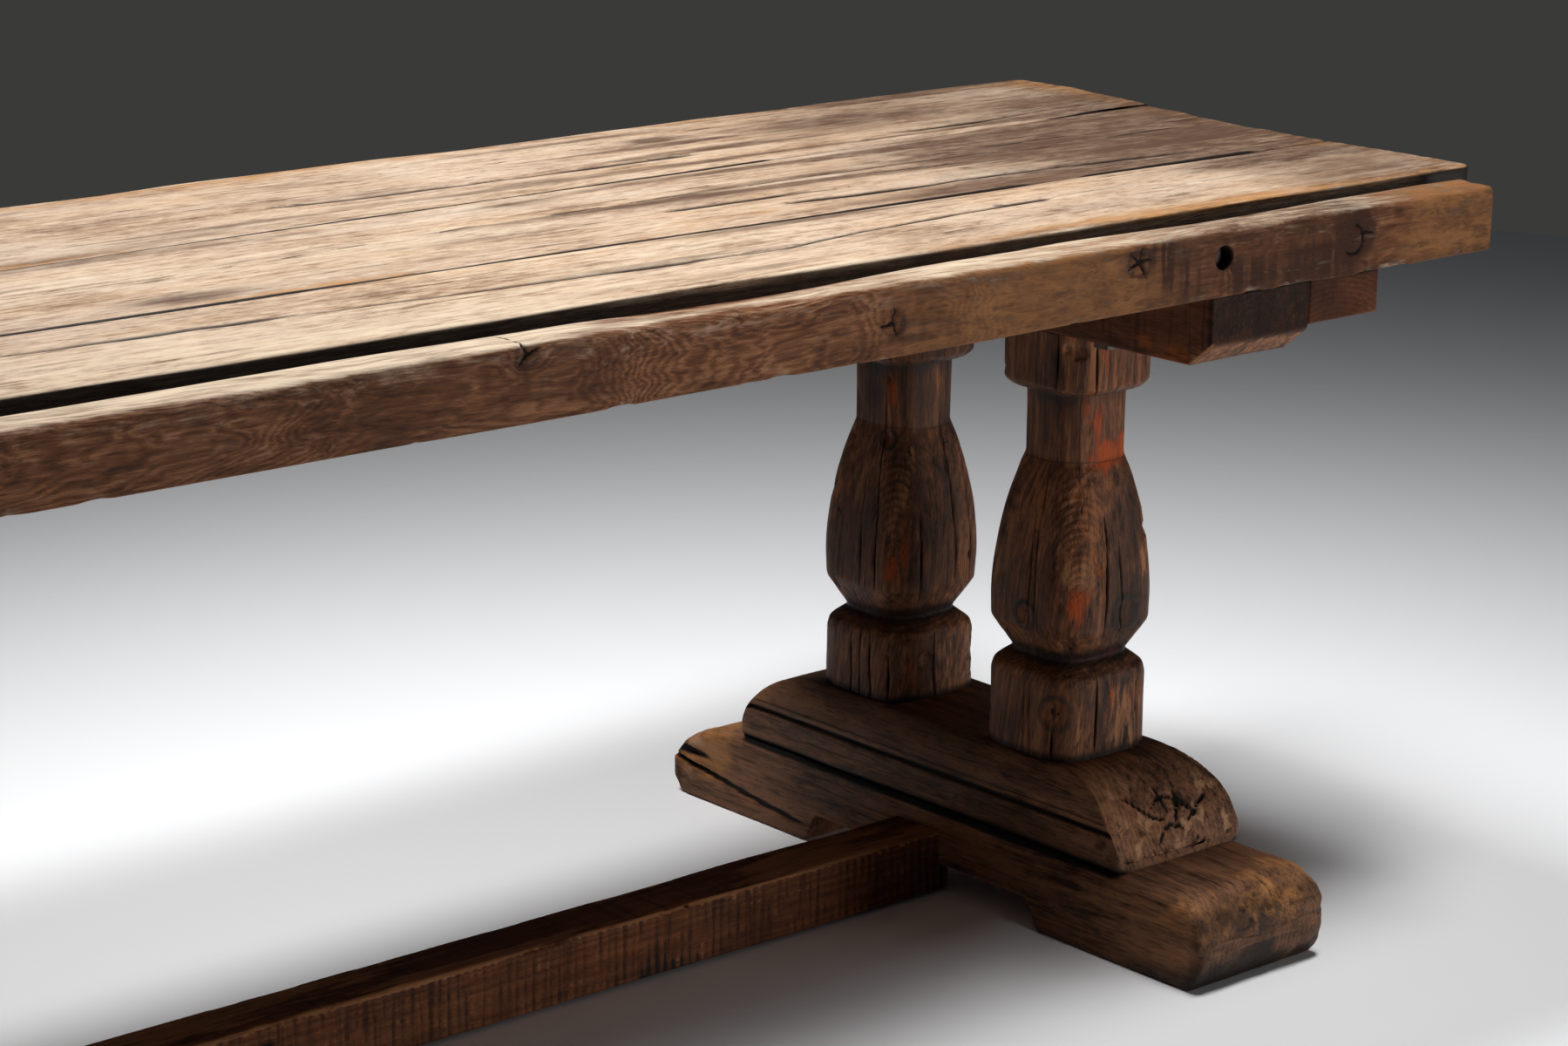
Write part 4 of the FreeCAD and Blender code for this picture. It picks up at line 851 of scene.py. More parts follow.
def beam_piece():
    """The edge beam: rings of a rounded rectangle, with counterbored holes sunk into its front.

    The front is pressed in at the knots and along their cracks; a block of faces about each hole gives way to the
    bore's rings.
    """
    name, seed = "edge_beam", 41
    sizes = bpy.context.scene.table_wear
    low, high = corners(name)
    washer_low, washer_high = corners("edge_beam_washers")
    bore_height = (washer_low[2] + washer_high[2]) / 2.0
    bore_places = (washer_high[0] - HALF_WASHER, washer_low[0] + HALF_WASHER)
    fine = [(1.05, 0.17, 0.0020)] + [(knot[0], 0.03, 0.0022) for knot in BEAM_KNOTS]
    fine += [(place, 0.02, 0.0022) for place in bore_places]
    places, inset = rounded_ends(stations(low[0], high[0], 0.0062, fine), 0.009)
    rows = section(9, 20, 30, 12, corner=7)
    column = lengthwise(places)
    roll = 1.0 + 0.45 * noise(column * 5.0, seed)[:, None]
    radius = np.where(rows[:, 1] > 0.0, sizes.beam_arris, 0.0035) * roll
    across, up = bar(rows, (low[1] + high[1]) / 2.0, (high[1] - low[1]) / 2.0 - inset[:, None],
                     low[2] + inset[:, None], high[2] - inset[:, None], radius)
    along = ring_places(places, across)
    upper, lower = smooth(high[2] - 0.02, high[2], up), smooth(low[2] + 0.010, low[2], up)
    front, back = np.clip(-rows[:, 2], 0.0, 1.0) * np.ones_like(along), np.clip(rows[:, 2], 0.0, 1.0)
    spots = np.stack([along, across, up], axis=-1)

    chips = smooth(0.2, 0.9, layered(lengthwise(along, 24.0), seed + 2, 4))
    wander = 0.0016 * noise(column * 2.3, seed + 1)[:, None]
    up = up + lower * (0.5 * chips + 0.2 * noise(column * 6.0, seed + 12)[:, None]) * sizes.nick
    up = up - upper * (0.0008 + 0.0016 * (1.0 + layered(spots * (4.0, 40.0, 0.0), seed + 3))) + upper * wander
    across = across + front * 0.0005 * layered(spots * (6.0, 0.0, 90.0), seed + 4)
    pit, halo, cracks = beam_knots(along, up, spots, seed)
    across = across + front * (0.0012 * pit + 0.0035 * cracks)

    upright = np.stack([along * 80.0, along * 0.0, up * 18.0], axis=-1)
    chatter = smooth(-0.5, 0.7, 0.5 * noise(upright, seed + 5) + 0.7 * noise(upright * (3.0, 1.0, 1.6), seed + 14))
    streaks = smooth(0.5, 1.0, layered(np.stack([along * 2.6, along * 0.0, up * 55.0], axis=-1), seed + 6))
    strip = smooth(high[2] - 0.008 - 0.003 * noise(column * 3.0, seed + 7)[:, None], high[2] - 0.001, up)
    strip = np.maximum(0.92 * strip, 0.17 * smooth(high[2] - 0.042, high[2] - 0.004, up) * front)
    tan_end = smooth(1.215, 1.30, along) + smooth(-1.25, -1.33, along)
    rub = (0.95 + 0.35 * noise(spots * (14.0, 50.0, 50.0), seed + 8)) * (1.0 - 0.6 * smooth(0.3, 1.0, along))
    saw_end = tan_end * smooth(0.1, 0.6, noise(lengthwise(along * 150.0 + up * 90.0), seed))
    marks = add_caps({
        "wear": np.maximum(strip * rub * (1.0 - 0.5 * tan_end), 0.3 * lower * chips),
        "stain": blot(along, up, BEAM_STAINS) * (0.50 + 0.50 * chatter) + 0.45 * halo + 0.35 * streaks + 0.25 * saw_end,
        "tint": 0.48 * tan_end + 0.55 * between(0.35, 0.75, 0.9, 1.0, along) + 0.2 * patches(
            spots, (3.0, 0.0, 40.0), seed + 9, 0.3, 0.9),
        # Painted shade: the back face, in the gap between the beam and the near plank, is darkened in the dirt colour
        # below the top; the knots' cracks are real.
        "dirt_and_shade": np.maximum(cracks, 0.5 * back * (1.0 - upper)),
    })

    rings = capped(np.stack([along, across, up], axis=-1))
    points, quads, fans = skin(rings)
    ids = np.arange(rings.shape[0] * rings.shape[1]).reshape(rings.shape[:2])
    is_front = np.where((rows[:, 2] == -1.0) & (rows[:, 0] == -1.0) & (rows[:, 3] == 0.0))[0]
    heights, spans = rings[len(rings) // 2, is_front, 2], rings[:, is_front[0], 0]
    keep = np.ones(quads.shape[:2], dtype=bool)
    rim, faces = 1.5 * BORE, []
    for place in bore_places:
        first, last = np.searchsorted(spans, place - rim) - 1, np.searchsorted(spans, place + rim)
        tall = is_front[np.abs(heights - bore_height) < rim + 0.002]
        left, right = tall[0], tall[-1]
        keep[first:last, left:right] = False
        loop = np.concatenate([ids[first:last, left], ids[last, left:right], ids[last:first:-1, right],
                               ids[first, right:left:-1]])
        added = bore_rings(points[loop], place, bore_height, washer_high[1])
        start, size = len(points), added.shape[0] * added.shape[1]
        stack = np.vstack([loop[None], start + np.arange(size).reshape(added.shape[:2])])
        beside = np.roll(stack, -1, axis=1)
        faces += np.stack([stack[:-1], stack[1:], beside[1:], beside[:-1]], axis=-1).reshape(-1, 4).tolist()
        faces += np.column_stack([stack[-1], np.full(len(loop), start + size), beside[-1]]).tolist()
        points = np.vstack([points, added.reshape(-1, 3), added[-1].mean(axis=0)])
        for mark in marks:
            around = np.tile(marks[mark][loop], 3)
            marks[mark] = np.concatenate([marks[mark], around, np.zeros(size - around.size + 1)])
        # Painted shade: the counterbores' walls and floors darken in the dirt colour the deeper they go.
        inner = np.repeat([0.0, 0.1, 0.35] + [0.55] * 3 + [0.8] * 4 + [1.0] * 9, len(loop))
        marks["dirt_and_shade"][start:start + size] = np.maximum(marks["dirt_and_shade"][start:start + size], inner)
    faces += quads[keep].reshape(-1, 4).tolist() + fans.tolist()

    bulge = sum(0.006 * np.exp(-((points[:, 0] - x0) / (1.9 * size)) ** 2 - ((points[:, 2] - z0) / (1.2 * size)) ** 2)
                for x0, z0, size, turns in BEAM_KNOTS)
    drift = lengthwise(points[:, 0], 5.0)
    bulge = bulge + 0.10 * points[:, 0] + 0.009 * layered(drift, seed + 10)
    bulge = bulge + 0.003 * layered(points * (16.0, 0.0, 45.0), seed + 13)
    sag = 0.010 * noise(drift * 0.6, seed + 11)
    grain = np.column_stack([points[:, 0] + 1.9, points[:, 1] + 0.47 + bulge, points[:, 2] - 0.738 + sag])
    finish_piece(name, points, faces, marks, grain, "edge_oak")


class TABLE_OT_edge_beam(bpy.types.Operator):
    """Makes the edge beam with its knots, stains and counterbored holes"""
    bl_idname = "table.edge_beam"
    bl_label = "Edge beam"

    def execute(self, context):
        beam_piece()
        return {"FINISHED"}


# Heights above a leg's base, half width across the flats and across the corners, and how sharp the corners are.
LEG_PROFILE = [
    (-0.006, 0.068, 0.083, 11.0), (0.0, 0.068, 0.083, 11.0), (0.078, 0.068, 0.083, 11.0), (0.088, 0.066, 0.080, 11.0),
    (0.092, 0.062, 0.074, 10.0), (0.101, 0.051, 0.0595, 10.0), (0.104, 0.051, 0.0595, 12.0),
    (0.137, 0.068, 0.082, 22.0), (0.164, 0.069, 0.083, 24.0), (0.312, 0.045, 0.051, 20.0),
    (0.384, 0.045, 0.0515, 18.0), (0.3845, 0.056, 0.066, 16.0), (0.392, 0.064, 0.0755, 14.0),
    (0.451, 0.064, 0.0755, 14.0),
]
# Heights in that profile: below the seat, the belly's widest place, the neck's foot and the cap's top.
LEG_SUNK, BELLY_HEIGHT, NECK_HEIGHT, CAP_HEIGHT = -0.006, 0.164, 0.312, 0.451
# How much lower the far legs' shape sits.
FAR_LEG_DROP = 0.014
# The turn, in degrees, about which the grain's arches show on each leg.
LEG_FACING = {"right_near_leg": -129.0, "right_far_leg": -137.0, "left_near_leg": 50.0, "left_far_leg": 50.0}
# Rust patches of each leg: turn in degrees, height above the base, reach in degrees and in metres, strength.
LEG_RUST = {
    "right_near_leg": [(-106, 0.345, 15, 0.042, 0.75), (-90, 0.318, 32, 0.020, 0.95), (-60, 0.325, 20, 0.018, 0.8),
                       (-122, 0.37, 8, 0.03, 0.5), (-131, 0.172, 10, 0.034, 0.62), (-118, 0.19, 14, 0.05, 0.45),
                       (-80, 0.105, 20, 0.006, 0.9), (-96, 0.43, 30, 0.03, 0.36), (-84, 0.05, 36, 0.05, 0.38),
                       (-166, 0.35, 8, 0.04, 0.45)],
    "right_far_leg": [(-146, 0.352, 9, 0.028, 0.66), (-139, 0.16, 10, 0.030, 0.55), (-130, 0.19, 6, 0.05, 0.5),
                      (-150, 0.30, 6, 0.03, 0.45), (-122, 0.05, 8, 0.05, 0.45), (-140, 0.42, 16, 0.02, 0.3)],
    "left_near_leg": [(-100, 0.35, 18, 0.05, 0.9), (-60, 0.20, 20, 0.04, 0.6), (170, 0.36, 14, 0.03, 0.6)],
    "left_far_leg": [(100, 0.34, 18, 0.04, 0.8), (60, 0.18, 20, 0.05, 0.7), (-60, 0.05, 14, 0.04, 0.5)],
}
# Black patches of each leg, listed as the rust is.
LEG_STAINS = {
    "right_near_leg": [(-172, 0.35, 24, 0.035, 0.6), (-140, 0.365, 9, 0.025, 0.5), (-62, 0.27, 24, 0.04, 0.45),
                       (-150, 0.415, 12, 0.02, 0.5)],
    "right_far_leg": [(-176, 0.35, 24, 0.04, 0.7), (-108, 0.35, 22, 0.04, 0.6), (-128, 0.26, 14, 0.05, 0.5),
                      (-100, 0.41, 34, 0.03, 0.6), (-165, 0.20, 18, 0.05, 0.4)],
    "left_near_leg": [(-120, 0.25, 30, 0.05, 0.6), (40, 0.36, 30, 0.04, 0.6)],
    "left_far_leg": [(130, 0.24, 30, 0.05, 0.6), (-40, 0.36, 30, 0.04, 0.6)],
}
# Knots of each leg: turn in degrees, height above the base, radius.
LEG_KNOTS = {
    "right_near_leg": [(-177, 0.148, 0.012), (-80, 0.152, 0.014), (-144, 0.050, 0.015)],
    "right_far_leg": [(-108, 0.058, 0.009), (-150, 0.30, 0.008)],
    "left_near_leg": [(-90, 0.06, 0.013), (20, 0.17, 0.013)],
    "left_far_leg": [(60, 0.06, 0.013), (120, 0.16, 0.013)],
}
# Drying checks of each leg: turn in degrees, then the heights between which it stands open. The left legs' are the
# right far leg's, turned on.
LEG_CHECKS = {
    "right_near_leg": [(-178, 0.0, 0.075), (-170, 0.0, 0.07), (-174, 0.13, 0.26), (-166, 0.14, 0.30), (-147, 0.0, 0.03),
                       (-110, 0.01, 0.085), (-104, 0.14, 0.25), (-86, 0.13, 0.22), (-60, 0.0, 0.08), (-30, 0.13, 0.25),
                       (20, 0.14, 0.28), (80, 0.13, 0.27), (130, 0.0, 0.3), (40, 0.0, 0.08), (-152, 0.40, 0.45),
                       (-118, 0.39, 0.45)],
    "right_far_leg": [(-183, 0.0, 0.085), (-173, 0.14, 0.25), (-171, 0.0, 0.085), (-158, 0.0, 0.085),
                      (-155, 0.14, 0.345), (-140, 0.0, 0.06), (-116, 0.13, 0.22), (-98, 0.0, 0.08), (-76, 0.15, 0.32),
                      (-60, 0.12, 0.28), (20, 0.13, 0.26), (70, 0.0, 0.28), (120, 0.13, 0.3)],
}
# The turn, in degrees, by which the left legs' checks are moved on.
LEFT_CHECKS_TURN = 23


def leg_profile():
    """The leg's outline from base to cap as dense rows of height, flat, corner and sharpness.

    Straight between the listed heights, but from belly to neck the width falls by the square of the height above the
    belly; the corners are then softened by a running mean of about 7 mm.
    """
    listed = np.array(LEG_PROFILE)
    pieces = []
    for first, last in zip(listed[:-1], listed[1:]):
        count = max(3, int(np.hypot(last[0] - first[0], last[1] - first[1]) / 0.0005))
        share = np.linspace(0.0, 1.0, count, endpoint=False)[:, None]
        piece = first + (last - first) * share
        if first[0] == BELLY_HEIGHT:
            piece[:, 1:3] = first[1:3] + (last[1:3] - first[1:3]) * share ** 2
        pieces.append(piece)
    dense = np.vstack(pieces + [listed[-1:]])
    width = 13
    padding = np.pad(dense, ((width // 2, width // 2), (0, 0)), mode="edge")
    soft = np.stack([np.convolve(padding[:, axis], np.ones(width) / width, mode="valid") for axis in range(4)], axis=1)
    run = np.concatenate([[0.0], np.cumsum(np.hypot(np.diff(soft[:, 0]), np.diff(soft[:, 1])))])
    even = np.linspace(0.0, run[-1], int(run[-1] / 0.0018))
    return np.stack([np.interp(even, run, soft[:, axis]) for axis in range(4)], axis=1)


def turn_lines(checks, count, seed, heights):
    """Turns about a leg's axis, evenly spread but with a bundle of five along each check, which wanders with height.

    Returns the turn of every line at every height and how deep it is sunk, from 0 to 1.
    """
    offsets = np.array([-1.0, -0.45, 0.0, 0.45, 1.0]) * 0.026
    depths = np.array([0.0, 0.65, 1.0, 0.65, 0.0])
    paths = sorted(checks)
    column = lengthwise(heights, 18.0)
    bundles, sunk = [], []
    for number, (turn, low, high) in enumerate(paths):
        wander = 0.035 * noise(column, seed + number)
        opened = between(low - 0.012, low + 0.02, high - 0.02, high + 0.012, heights)
        opened = opened * np.clip(0.75 + 0.5 * noise(column * 2.0, seed + 31 + number), 0.0, 1.0)
        bundles.append(math.radians(turn) + wander[:, None] + offsets * (0.25 + 0.75 * opened[:, None]))
        sunk.append(opened[:, None] * depths)
    starts = np.radians([turn for turn, low, high in paths])
    columns, depth_columns = [], []
    for number, bundle in enumerate(bundles):
        following = (number + 1) % len(bundles)
        lap = 0.0 if following else 2.0 * math.pi
        begin, stop = bundle[:, -1:], bundles[following][:, :1] + lap
        gap = starts[following] + lap - starts[number]
        filling = max(2, int(round(gap / (2.0 * math.pi) * count)))
        share = (np.arange(filling) + 1.0) / (filling + 1.0)
        columns += [bundle, begin + (stop - begin) * share]
        depth_columns += [sunk[number], np.zeros((len(heights), filling))]
    return np.hstack(columns), np.hstack(depth_columns)


def leg_patches(patches_listed, degrees, tall):
    """Soft patches about a leg: strength times exp(-(turn / reach)^2 - (height / reach)^2), the largest kept."""
    total = np.zeros_like(degrees)
    for turn, at, wide, high, strength in patches_listed:
        away = np.mod(degrees - turn + 180.0, 360.0) - 180.0
        total = np.maximum(total, strength * np.exp(-(away / wide) ** 2 - ((tall - at) / high) ** 2))
    return total


def leg_piece(name, seed):
    """One baluster leg: at each height a softened octagon, turned about the leg's axis.

    Its radius at a turn t is (sum over the four pairs of faces of (|cos(t - face)| / half width)^p)^(-1/p), lowered by
    checks, hollows and nicks and raised by the grain's ridges.
    """
    sizes = bpy.context.scene.table_wear
    low, high = corners(name)
    foot_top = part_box(name.split("_")[0] + "_upper_foot")[1][2]
    centre = (low[:2] + high[:2]) / 2.0
    profile = leg_profile()
    height, flat, corner, sharp = (profile[:, axis:axis + 1] for axis in range(4))
    checks = LEG_CHECKS.get(name) or [
        (turn + LEFT_CHECKS_TURN, start, end) for turn, start, end in LEG_CHECKS["right_far_leg"]]
    turns, sunk = turn_lines(checks, 150, seed, height[:, 0])
    reach = sum((np.abs(np.cos(turns - math.radians(face))) / size) ** sharp
                for face, size in ((0, flat), (90, flat), (45, corner), (135, corner))) ** (-1.0 / sharp)
    unit = np.stack([np.cos(turns), np.sin(turns)], axis=-1)
    tall = ring_places(height[:, 0], turns)
    spots = np.stack([reach * unit[..., 0], reach * unit[..., 1], tall], axis=-1)
    hollow = layered(spots * (16.0, 16.0, 9.0), seed + 1)
    fibres = noise(spots * (210.0, 210.0, 9.0), seed + 2)
    arris = smooth(1.03, 1.16, reach / flat) * smooth(0.0, 0.02, tall)
    nicks = patches(spots, (40.0, 40.0, 30.0), seed + 3, 0.5, 0.95) * arris

    facing = np.radians(LEG_FACING[name])
    front = smooth(0.80, 0.97, np.cos(turns - facing))
    arcs = np.hypot(reach * np.sin(turns - facing) * 2.6, tall - 0.150) + 0.002 * noise(spots * 40.0, seed + 9)
    ridges = front * between(0.14, 0.18, 0.27, 0.32, tall) * np.sin(arcs * 2.0 * math.pi / 0.0085)
    knots, knot_ring = np.zeros_like(reach), np.zeros_like(reach)
    for turn, at, size in LEG_KNOTS[name]:
        away = np.hypot((np.mod(turns - math.radians(turn) + math.pi, 2.0 * math.pi) - math.pi) * reach, tall - at)
        knots = np.maximum(knots, smooth(size, 0.2 * size, away))
        knot_ring = np.maximum(knot_ring, np.exp(-((away - 1.2 * size) / (0.3 * size)) ** 2))
    scars = smooth(0.35, 0.8, noise(spots * 260.0, seed + 7)) * knots
    reach = reach + 0.0011 * hollow + 0.00035 * fibres - sizes.nick * nicks + sizes.ridge * ridges
    reach = reach - sizes.check * sunk - 0.0015 * knots - 0.002 * scars + 0.0012 * knot_ring
    drop = (FAR_LEG_DROP if "far" in name else 0.0) * between(0.0, 0.05, 0.40, CAP_HEIGHT, tall)
    up = foot_top + np.clip(tall - drop, LEG_SUNK, CAP_HEIGHT)
    rings = np.stack([centre[0] + reach * unit[..., 0], centre[1] + reach * unit[..., 1], up], axis=-1)

    degrees = np.degrees(turns)
    rust = np.clip(leg_patches(LEG_RUST[name], degrees, tall), 0.0, 1.0)
    black = np.maximum(leg_patches(LEG_STAINS[name], degrees, tall),
                       0.4 * patches(spots, (13.0, 13.0, 6.0), seed + 25, 0.25, 0.95))
    # Painted shade: the waist's recess is darkened in the dirt colour and the band under the cap in the stain colour.
    waist_shade = between(0.090, 0.101, 0.108, 0.124, tall)
    under_cap_shade = between(0.362, 0.383, 0.386, 0.392, tall)
    base = smooth(0.014, 0.0, tall)
    neck_line = NECK_HEIGHT + 0.0025 * noise(spots * (22.0, 22.0, 0.0), seed + 8)
    tool_line = np.exp(-((tall - neck_line) / 0.0016) ** 2)
    rub = rubbing(spots, (60.0, 60.0, 25.0), seed + 6, 0.5, 0.7)
    # Painted light: the block's face that turns towards the front is lightened in the wear colour.
    block_front_light = 0.42 * smooth(0.086, 0.070, tall) * np.exp(-((degrees + 78.0) / 30.0) ** 2)
    marks = {
        "wear": np.maximum(arris * rub * 0.45 + 0.05 * np.clip(ridges, 0.0, 1.0), block_front_light),
        "tint": 0.9 * rust + 0.10 * patches(spots, (36.0, 36.0, 20.0), seed + 4, 0.1, 0.8),
        "stain": black * (1.0 - rust) + 0.45 * under_cap_shade + 0.5 * knot_ring,
        "dirt_and_shade": np.maximum.reduce([np.clip(1.5 * sunk, 0.0, 1.0), 0.6 * waist_shade, 0.6 * base, 0.8 * scars,
                                   0.40 * np.clip(-ridges, 0.0, 1.0), 0.45 * tool_line]),
    }

    def grain_of(points):
        x, y, z = points[:, 0] - centre[0], points[:, 1] - centre[1], points[:, 2] - foot_top
        return np.column_stack([z + 2.3 * seed, x + 0.020, y - 0.028 - 0.30 * np.maximum(0.30 - z, 0.0) ** 2])

    skin_piece(name, rings, marks, grain_of, "leg_oak")


class TABLE_OT_legs(bpy.types.Operator):
    """Makes the four faceted baluster legs"""
    bl_idname = "table.legs"
    bl_label = "Legs"

    def execute(self, context):
        for number, name in enumerate(LEG_RUST):
            leg_piece(name, 61 + 7 * number)
        return {"FINISHED"}


def quarter_fall(distance, run, fall):
    """How far an arc has fallen at a distance into its run: R - sqrt(R R - d d), R = (run^2 + fall^2) / (2 fall)."""
    radius = (run ** 2 + fall ** 2) / (2.0 * fall)
    inside = np.clip(distance, 0.0, run)
    return radius - np.sqrt(radius ** 2 - inside ** 2)


# A lower foot's nose height, the runs of its near and far rounding, its toe's run, its corners' radius, the height of
# the relief under its middle and where the relief ends on either side.
NOSE, NEAR_RUN, FAR_RUN, TOE = 0.045, 0.050, 0.120, 0.020
FOOT_CORNER, RELIEF, RELIEF_END = 0.012, 0.033, (0.1865, 0.1645)


def lower_foot_piece(side, seed):
    """A sledge foot: rings of a rounded rectangle from its near nose to its far nose.

    The top falls along an arc to each nose, the underside rises to it, and the relief lifts the underside between the
    pads; splits run into the noses along the grain.
    """
    name = f"{side}_lower_foot"
    low, high = corners(name)
    middle, half = (low[0] + high[0]) / 2.0, (high[0] - low[0]) / 2.0
    fine = [(low[1], 0.03, 0.0015), (high[1], 0.03, 0.0015), (-0.176, 0.02, 0.002), (0.176, 0.02, 0.002)]
    places = stations(low[1] + 0.0004, high[1] - 0.0004, 0.0048, fine)
    from_near, from_far = places - low[1], high[1] - places
    from_end = np.minimum(from_near, from_far)
    top = np.minimum(high[2] - quarter_fall(NEAR_RUN - from_near, NEAR_RUN, high[2] - NOSE),
                     high[2] - quarter_fall(FAR_RUN - from_far, FAR_RUN, high[2] - NOSE))
    toe_radius = (NOSE ** 2 + TOE ** 2) / (2.0 * TOE)
    tuck = np.clip(TOE - from_end, 0.0, TOE)
    under = np.clip(NOSE - np.sqrt(np.maximum(toe_radius ** 2 - (toe_radius - TOE + tuck) ** 2, 0.0)), 0.0, NOSE)
    under = np.where(from_end < TOE, under, 0.0)
    under = np.maximum(under, RELIEF * smooth(*RELIEF_END, np.abs(places)))
    rows = section(22, 34, 22, 16, corner=6)
    out_x, out_z = rows[:, 2], rows[:, 3]
    column = lengthwise(places, 8.0)
    radius = np.where(rows[:, 1] > 0.0, FOOT_CORNER, 0.004) * (1.0 + 0.35 * noise(column, seed)[:, None])
    across, up = bar(rows, 0.0, (half - round_in(from_end, FOOT_CORNER))[:, None], under[:, None], top[:, None], radius)
    along = ring_places(places, across)
    spots = np.stack([across, along, up], axis=-1)
    from_near, from_far, from_end = from_near[:, None], from_far[:, None], from_end[:, None]

    nosed = np.maximum(smooth(0.055, 0.01, from_near), smooth(0.075, 0.02, from_far))
    rough = layered(spots * (55.0, 40.0, 55.0), seed + 1, 4)
    hollow = layered(spots * (12.0, 6.0, 12.0), seed + 2)
    fibres = noise(spots * (170.0, 8.0, 170.0), seed + 3)
    push = 0.0011 * hollow + 0.0004 * fibres * (1.0 - nosed) + 0.0018 * rough * nosed
    mouth = 0.0020 + 0.0030 * smooth(0.12, 0.0, from_far)
    split_level = 0.052 + 0.003 * noise(column * 3.0, seed + 4)[:, None]
    split = np.exp(-((up - split_level) / mouth) ** 2) * smooth(0.10, 0.02, from_far) * np.abs(out_x)
    long_level = 0.026 + 0.1 * (along - 0.26) + 0.0015 * noise(column * 3.0, seed + 10)[:, None]
    long_split = np.exp(-((up - long_level) / 0.0026) ** 2) * smooth(0.27, 0.19, from_far)
    split = np.maximum(split, long_split * np.abs(out_x))
    across = across + out_x * (push - 2.2 * mouth * split)
    up = np.maximum(up + np.where(out_z > 0.0, out_z * push, 0.0) * smooth(0.0, 0.004, up), 0.0)
    along = along + np.sign(along) * nosed * 0.0022 * rough * smooth(0.03, 0.0, from_end)

    near, far = along < 0.0, along > 0.0
    arris = np.minimum(np.abs(out_x), np.abs(out_z)) * (out_z > 0.0)
    rub = rubbing(spots, (40.0, 14.0, 40.0), seed + 5, 0.6, 0.7)
    flake = patches(spots, (45.0, 30.0, 45.0), seed + 6, -0.1, 0.6)
    gold = np.maximum(smooth(0.12, 0.03, from_near) * smooth(0.03, 0.07, up),
                      smooth(0.15, 0.04, from_far) * smooth(0.01, 0.05, up))
    # Painted shade: the band on the top under the upper foot's edges, where the two feet meet, is darkened in the dirt
    # colour.
    seat = smooth(0.302, 0.285, np.abs(along)) * smooth(high[2] - 0.010, high[2] - 0.004, up)
    face = smooth(0.03, 0.008, from_end)
    black = patches(spots, (10.0, 4.0, 14.0), seed + 7, 0.2, 0.8)
    nose_gold = gold * (1.0 - 0.35 * face) * (0.30 + 0.24 * flake + 0.70 * far)
    nose_black = face * near * (0.46 - 0.30 * flake + 0.25 * smooth(0.05, 0.0, up))
    marks = {
        # Partly painted light: the far nose, which the table shades, is lightened in the wear colour over its real tan
        # patches.
        "wear": 0.50 * arris * rub + np.where(far, 0.60 * gold * flake, 0.16 * face * flake),
        "tint": nose_gold + 0.12 * patches(spots, (14.0, 3.0, 30.0), seed + 8, 0.2, 0.8) + 0.25 * face * near,
        "stain": 0.38 * black * (1.0 - 0.6 * gold) + 0.4 * smooth(0.03, 0.0, up) + nose_black,
        # Painted shade: the near nose's face, which the front lamp lights, is darkened in the dirt colour on top of its
        # real splits and rough end grain.
        "dirt_and_shade": np.maximum.reduce([np.clip(1.4 * split, 0.0, 1.0), 0.9 * seat, 0.45 * face * smooth(0.1, 0.6, -rough),
                                   0.34 * face * near,
                                   0.5 * face * patches(spots, (22.0, 30.0, 120.0), seed + 9, 0.35, 0.75)]),
    }
    grain_of = straight_grain([1, 0, 2], (-1.3 * seed, middle - 0.022, 0.035))
    skin_piece(name, np.stack([middle - across, along, up], axis=-1), marks, grain_of, "foot_oak")


# The heart of an upper foot's end, across and up; the cracks that run out from it: turn in degrees, start and finish.
END_HEART = (0.004, 0.030)
END_SPOKES = ((20, 0.012, 0.07), (62, 0.0, 0.05), (105, 0.01, 0.06), (150, 0.012, 0.075), (-35, 0.02, 0.06))
# The middle of the ring cracks on that end, across and up; their radius, first and last turn in degrees.
END_MIDDLE = (-0.006, 0.004)
END_RINGS = ((0.030, 45, 150), (0.052, 30, 115))
# An upper foot's groove: depths into the side and heights from its lower to its upper lip; the scratched line above it.
GROOVE_DEPTHS = np.array([0.0008, 0.003, 0.0042, 0.003, 0.0008])
GROOVE_HEIGHTS = np.array([0.0350, 0.0364, 0.0380, 0.0396, 0.0410])
GROOVE, SCRATCH = 0.038, 0.0475


def upper_foot_profile(half, tall):
    """An upper foot's section, once around: a plumb side, a groove, an arched shoulder and a flat top.

    The shoulder leans in by fall over its rise along a circle of radius (rise^2 + fall^2) / (2 fall).
    """
    fall, rise = 0.019, tall - 0.041
    bend = (rise ** 2 + fall ** 2) / (2.0 * fall)
    shoulder = np.linspace(0.0, 1.0, 16)
    side_x = np.concatenate([
        half - np.array([0.0030, 0.0012, 0.0003]), np.full(9, half), half - GROOVE_DEPTHS,
        half - fall + np.sqrt(bend ** 2 - (rise * shoulder) ** 2) - (bend - fall)])
    side_z = np.concatenate([
        [0.0, 0.0015, 0.004], np.linspace(0.0075, 0.0335, 9), GROOVE_HEIGHTS, 0.0415 + (rise - 0.0005) * shoulder])
    top_x = np.linspace(half - fall, fall - half, 34)[1:-1]
    bottom_x = np.linspace(-half, half, 14)[1:-1]
    return (np.concatenate([side_x, top_x, -side_x[::-1], bottom_x]),
            np.concatenate([side_z, np.full(len(top_x), tall), side_z[::-1], np.zeros(len(bottom_x))]))


